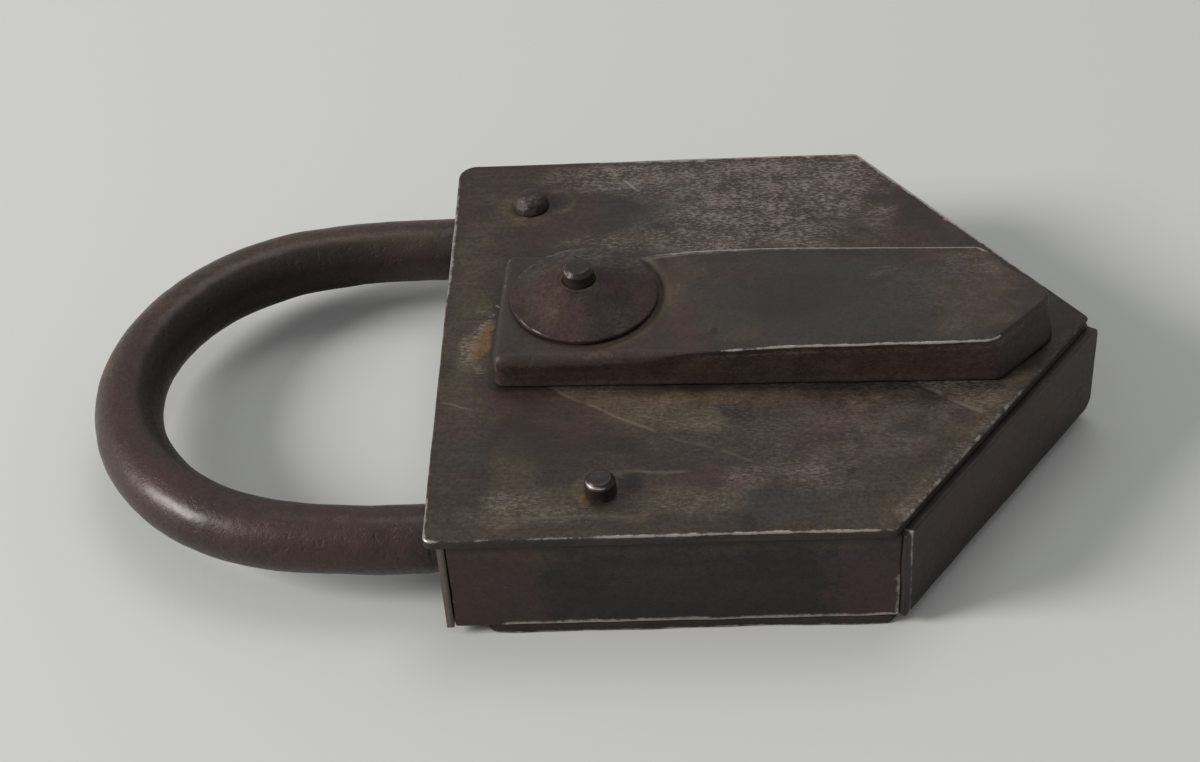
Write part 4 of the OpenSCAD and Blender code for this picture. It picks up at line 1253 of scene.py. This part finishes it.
def washer_marks(points, base):
    """Marks on the washer, with two arcs of its rim rubbed bright."""
    rel, z = points[:, :2] - PIVOT - WASHER_SLIP, points[:, 2]
    from_middle = np.hypot(*rel.T)
    left, near = (-(rel @ way) / from_middle for way in ((0.75, 0.66), (0.3, 0.95)))
    rubs = np.maximum(0.62 * smooth(left, 0.86, 0.99), 0.42 * smooth(near, 0.6, 0.9))
    cool = (PIVOT_X - 8, PIVOT_Y + 3, 2, 5, 0, 0.5), (PIVOT_X + 3, PIVOT_Y + 7, 6, 2.5, 0, 0.15)
    return {
        "wear_and_highlight": rubs * bell(from_middle - 11.3, 0.2) * (z > base + 0.35),
        "red": 0.7 * smooth(lumps(points, 7, 85, 2), -0.4, 0.3),
        "tan": np.maximum(
            0.3 * blots(points, ((PIVOT_X - 5, PIVOT_Y - 4, 4.5, 4, 30, 1.0),)),
            0.8 * smooth(reach(points, PIVOT), 3.3, 2.8),
        ),
        "cool": blots(points, cool),
        "dark": 0.6 * smooth(z, base + 0.5, base + 0.1),
        "pale": 0.1 * smooth(lumps(points, 3, 87, 2), -0.2, 0.6) + 0.4 * smooth(rel[:, 1], 1, 9),
    }


class PADLOCK_OT_cover(bpy.types.Operator):
    """Keyhole cover: the swelling bar and its domed washer"""

    bl_idname = "padlock.cover"
    bl_label = "Keyhole cover"

    def execute(self, context):
        outline = cover_outline()
        u, v = along_cover(outline)
        ray = outline - PIVOT
        hole = PIVOT + COVER_BORE * ray / np.linalg.norm(ray, axis=1, keepdims=True)
        thickness = cover_thickness()

        def top(plan):
            """The bar's thickness, sunk round the washer, less hollows and a low crown."""
            a, b = along_cover(plan)
            crown = 0.1 * smooth(np.abs(b - BAR_MIDDLE), 9, 13)
            rise = np.interp(a, *thickness) - SEAT_T
            rise = rise * smooth(reach(plan, WASHER), 12.0, 13.7)
            return COVER_LOW + SEAT_T + rise - 0.1 * hollows(plan, 14, 71, 3) - crown

        point_face = smooth(u - 0.1 * (v - BAR_MIDDLE), 62.2, 65.5)
        edge = sizes().cover_edge / MM + 1.3 * smooth(u, 19, 9) + 0.4 * point_face
        grid, away = slab(
            outline, hole, COVER_LOW, top, edge, (110, 7, 14), wobble=0.14, lean=0.9 * point_face,
            seed=73, low_edge=0.3,
        )
        mesh, points = skin("CoverBar", grid)
        material = iron(
            "cover iron", srgb(50, 40, 35), srgb(39, 31, 28), grain=0.65, streak=0.15, sheen=0.1,
            rough=0.5, blotch=0.7, bump_mm=0.06,
        )
        marks = cover_marks(points, away, thickness)
        finish_piece("CoverBar", mesh, "cover", "cover_bar", material, marks)

        base, peak = (corner[2] for corner in box_mm("cover_washer"))
        mesh, points = skin("CoverWasher", washer_grid(base, peak))
        material = iron(
            "washer iron", srgb(41, 30, 28), srgb(33, 24, 23), grain=0.8, sheen=0.05, rough=0.55,
            bump_mm=0.07, gloss=0.24,
        )
        marks = washer_marks(points, base)
        finish_piece("CoverWasher", mesh, "cover", "cover_washer", material, marks)
        return {"FINISHED"}


# ---------- inner parts and stage ----------


class PADLOCK_OT_inner_parts(bpy.types.Operator):
    """Finish of the lock's own parts, whose shapes are the frame's"""

    bl_idname = "padlock.inner_parts"
    bl_label = "Lock parts"

    def execute(self, context):
        outer_x, near_y, _ = box_mm("end_wall")[0]
        finishes = {
            "end_wall": iron(
                "end wall iron", srgb(44, 36, 33), srgb(31, 26, 24), sheen=0.05,
                rubbed_end=(-near_y, outer_x),
            ),
            "bolt_spring": iron(
                "spring steel", srgb(78, 80, 86), srgb(56, 56, 62), grain=0.4, streak=0.7,
                sheen=0.6, rough=0.34,
            ),
        }
        inner = iron(
            "lock iron", srgb(60, 53, 48), srgb(42, 36, 32), grain=0.9, sheen=0.25, rough=0.45,
            bump_mm=0.08,
        )
        for name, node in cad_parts.items():
            if not node.hide_render:
                node.data.materials.clear()
                node.data.materials.append(finishes.get(name, inner))
        return {"FINISHED"}


# name, direction towards it, distance and width in metres, power, colour
LAMPS = (
    ("window", (-0.85, -0.21, 0.50), 1.5, 0.55, 25, (1.0, 0.98, 0.95)),
    ("ceiling", (0.1, 0.35, 0.9), 1.6, 0.9, 5, (1.0, 1.0, 1.0)),
)
SKY, SKY_STRENGTH = (0.97, 0.985, 1.0, 1), 0.45
CAMERA_PLACE = (0.02021, -0.28168, 0.25831)
CAMERA_ANGLES = (3.84, 41.33, -4.27)  # azimuth, elevation and roll in degrees
CAMERA_LENS, CAMERA_SENSOR = 71.03, 36


def camera_turn(azimuth, elevation, roll):
    """Matrix whose columns are the camera's right, its up and the way back from its view."""
    azimuth, elevation, roll = (math.radians(a) for a in (azimuth, elevation, roll))
    across = math.cos(elevation)
    back = np.array([
        math.sin(azimuth) * across, -math.cos(azimuth) * across, math.sin(elevation)
    ])
    right = np.array([math.cos(azimuth), math.sin(azimuth), 0.0])
    up = np.cross(right, -back)
    c, s = math.cos(roll), math.sin(roll)
    return Matrix(np.stack([c * right + s * up, -s * right + c * up, back], -1).tolist())


class PADLOCK_OT_stage(bpy.types.Operator):
    """Pale floor, soft light from the shackle's side and the camera"""

    bl_idname = "padlock.stage"
    bl_label = "Stage"

    def execute(self, context):
        scene = context.scene

        def show(name, data):
            thing = bpy.data.objects.new(name, data)
            scene.collection.objects.link(thing)
            return thing

        mesh = bpy.data.meshes.new("floor")
        mesh.from_pydata([(-3, -3, 0), (3, -3, 0), (-3, 3, 0), (3, 3, 0)], [], [(0, 1, 3, 2)])
        recipe = Recipe("floor")
        for name, value in (
            ("Base Color", (*colours().floor, 1)), ("Roughness", 0.9),
            ("Specular IOR Level", 0.2),
        ):
            recipe.set(recipe.shader.inputs[name], value)
        mesh.materials.append(recipe.material)
        show("floor", mesh)

        world = bpy.data.worlds.new("room")
        scene.world = world
        world.use_nodes = True
        sky = world.node_tree.nodes["Background"]
        sky.inputs["Color"].default_value = SKY
        sky.inputs["Strength"].default_value = SKY_STRENGTH

        for name, toward, distance, width, power, colour in LAMPS:
            data = bpy.data.lights.new(name, "AREA")
            data.shape, data.size, data.energy, data.color = "DISK", width, power, colour
            lamp = show(name, data)
            lamp.location = np.array(toward) / np.linalg.norm(toward) * distance
            lamp.rotation_mode = "QUATERNION"
            lamp.rotation_quaternion = (-lamp.location).to_track_quat("-Z", "Y")

        camera = show("camera", bpy.data.cameras.new("camera"))
        turn = camera_turn(*CAMERA_ANGLES)
        camera.matrix_world = Matrix.Translation(CAMERA_PLACE) @ turn.to_4x4()
        camera.data.lens, camera.data.sensor_width = CAMERA_LENS, CAMERA_SENSOR
        camera.data.clip_start, camera.data.clip_end = 0.01, 20
        scene.camera = camera
        scene.view_settings.view_transform = "Standard"
        return {"FINISHED"}


class PADLOCK_PT_panel(bpy.types.Panel):
    """Lists the padlock's pieces and settings"""

    bl_idname = "PADLOCK_PT_panel"
    bl_label = "Forged padlock"
    bl_space_type = "VIEW_3D"
    bl_region_type = "UI"
    bl_category = "Padlock"

    def draw(self, context):
        for operator in OPERATORS:
            self.layout.operator(operator.bl_idname)
        for group in (context.scene.padlock_sizes, context.scene.padlock_finish):
            for name in group.bl_rna.properties.keys():
                if name not in ("rna_type", "name"):
                    self.layout.prop(group, name)


OPERATORS = (
    PADLOCK_OT_stage, PADLOCK_OT_plates, PADLOCK_OT_walls, PADLOCK_OT_shackle,
    PADLOCK_OT_rivets, PADLOCK_OT_cover, PADLOCK_OT_inner_parts,
)
CLASSES = (PadlockFinish, PadlockSizes, *OPERATORS, PADLOCK_PT_panel)


def register():
    for cls in CLASSES:
        bpy.utils.register_class(cls)
    bpy.types.Scene.padlock_finish = PointerProperty(type=PadlockFinish)
    bpy.types.Scene.padlock_sizes = PointerProperty(type=PadlockSizes)


def unregister():
    del bpy.types.Scene.padlock_finish
    del bpy.types.Scene.padlock_sizes
    for cls in reversed(CLASSES):
        bpy.utils.unregister_class(cls)


def main():
    register()
    bpy.ops.padlock.stage()
    bpy.ops.padlock.plates()
    bpy.ops.padlock.walls()
    bpy.ops.padlock.shackle()
    bpy.ops.padlock.rivets()
    bpy.ops.padlock.cover()
    bpy.ops.padlock.inner_parts()


if __name__ == "__main__":
    main()
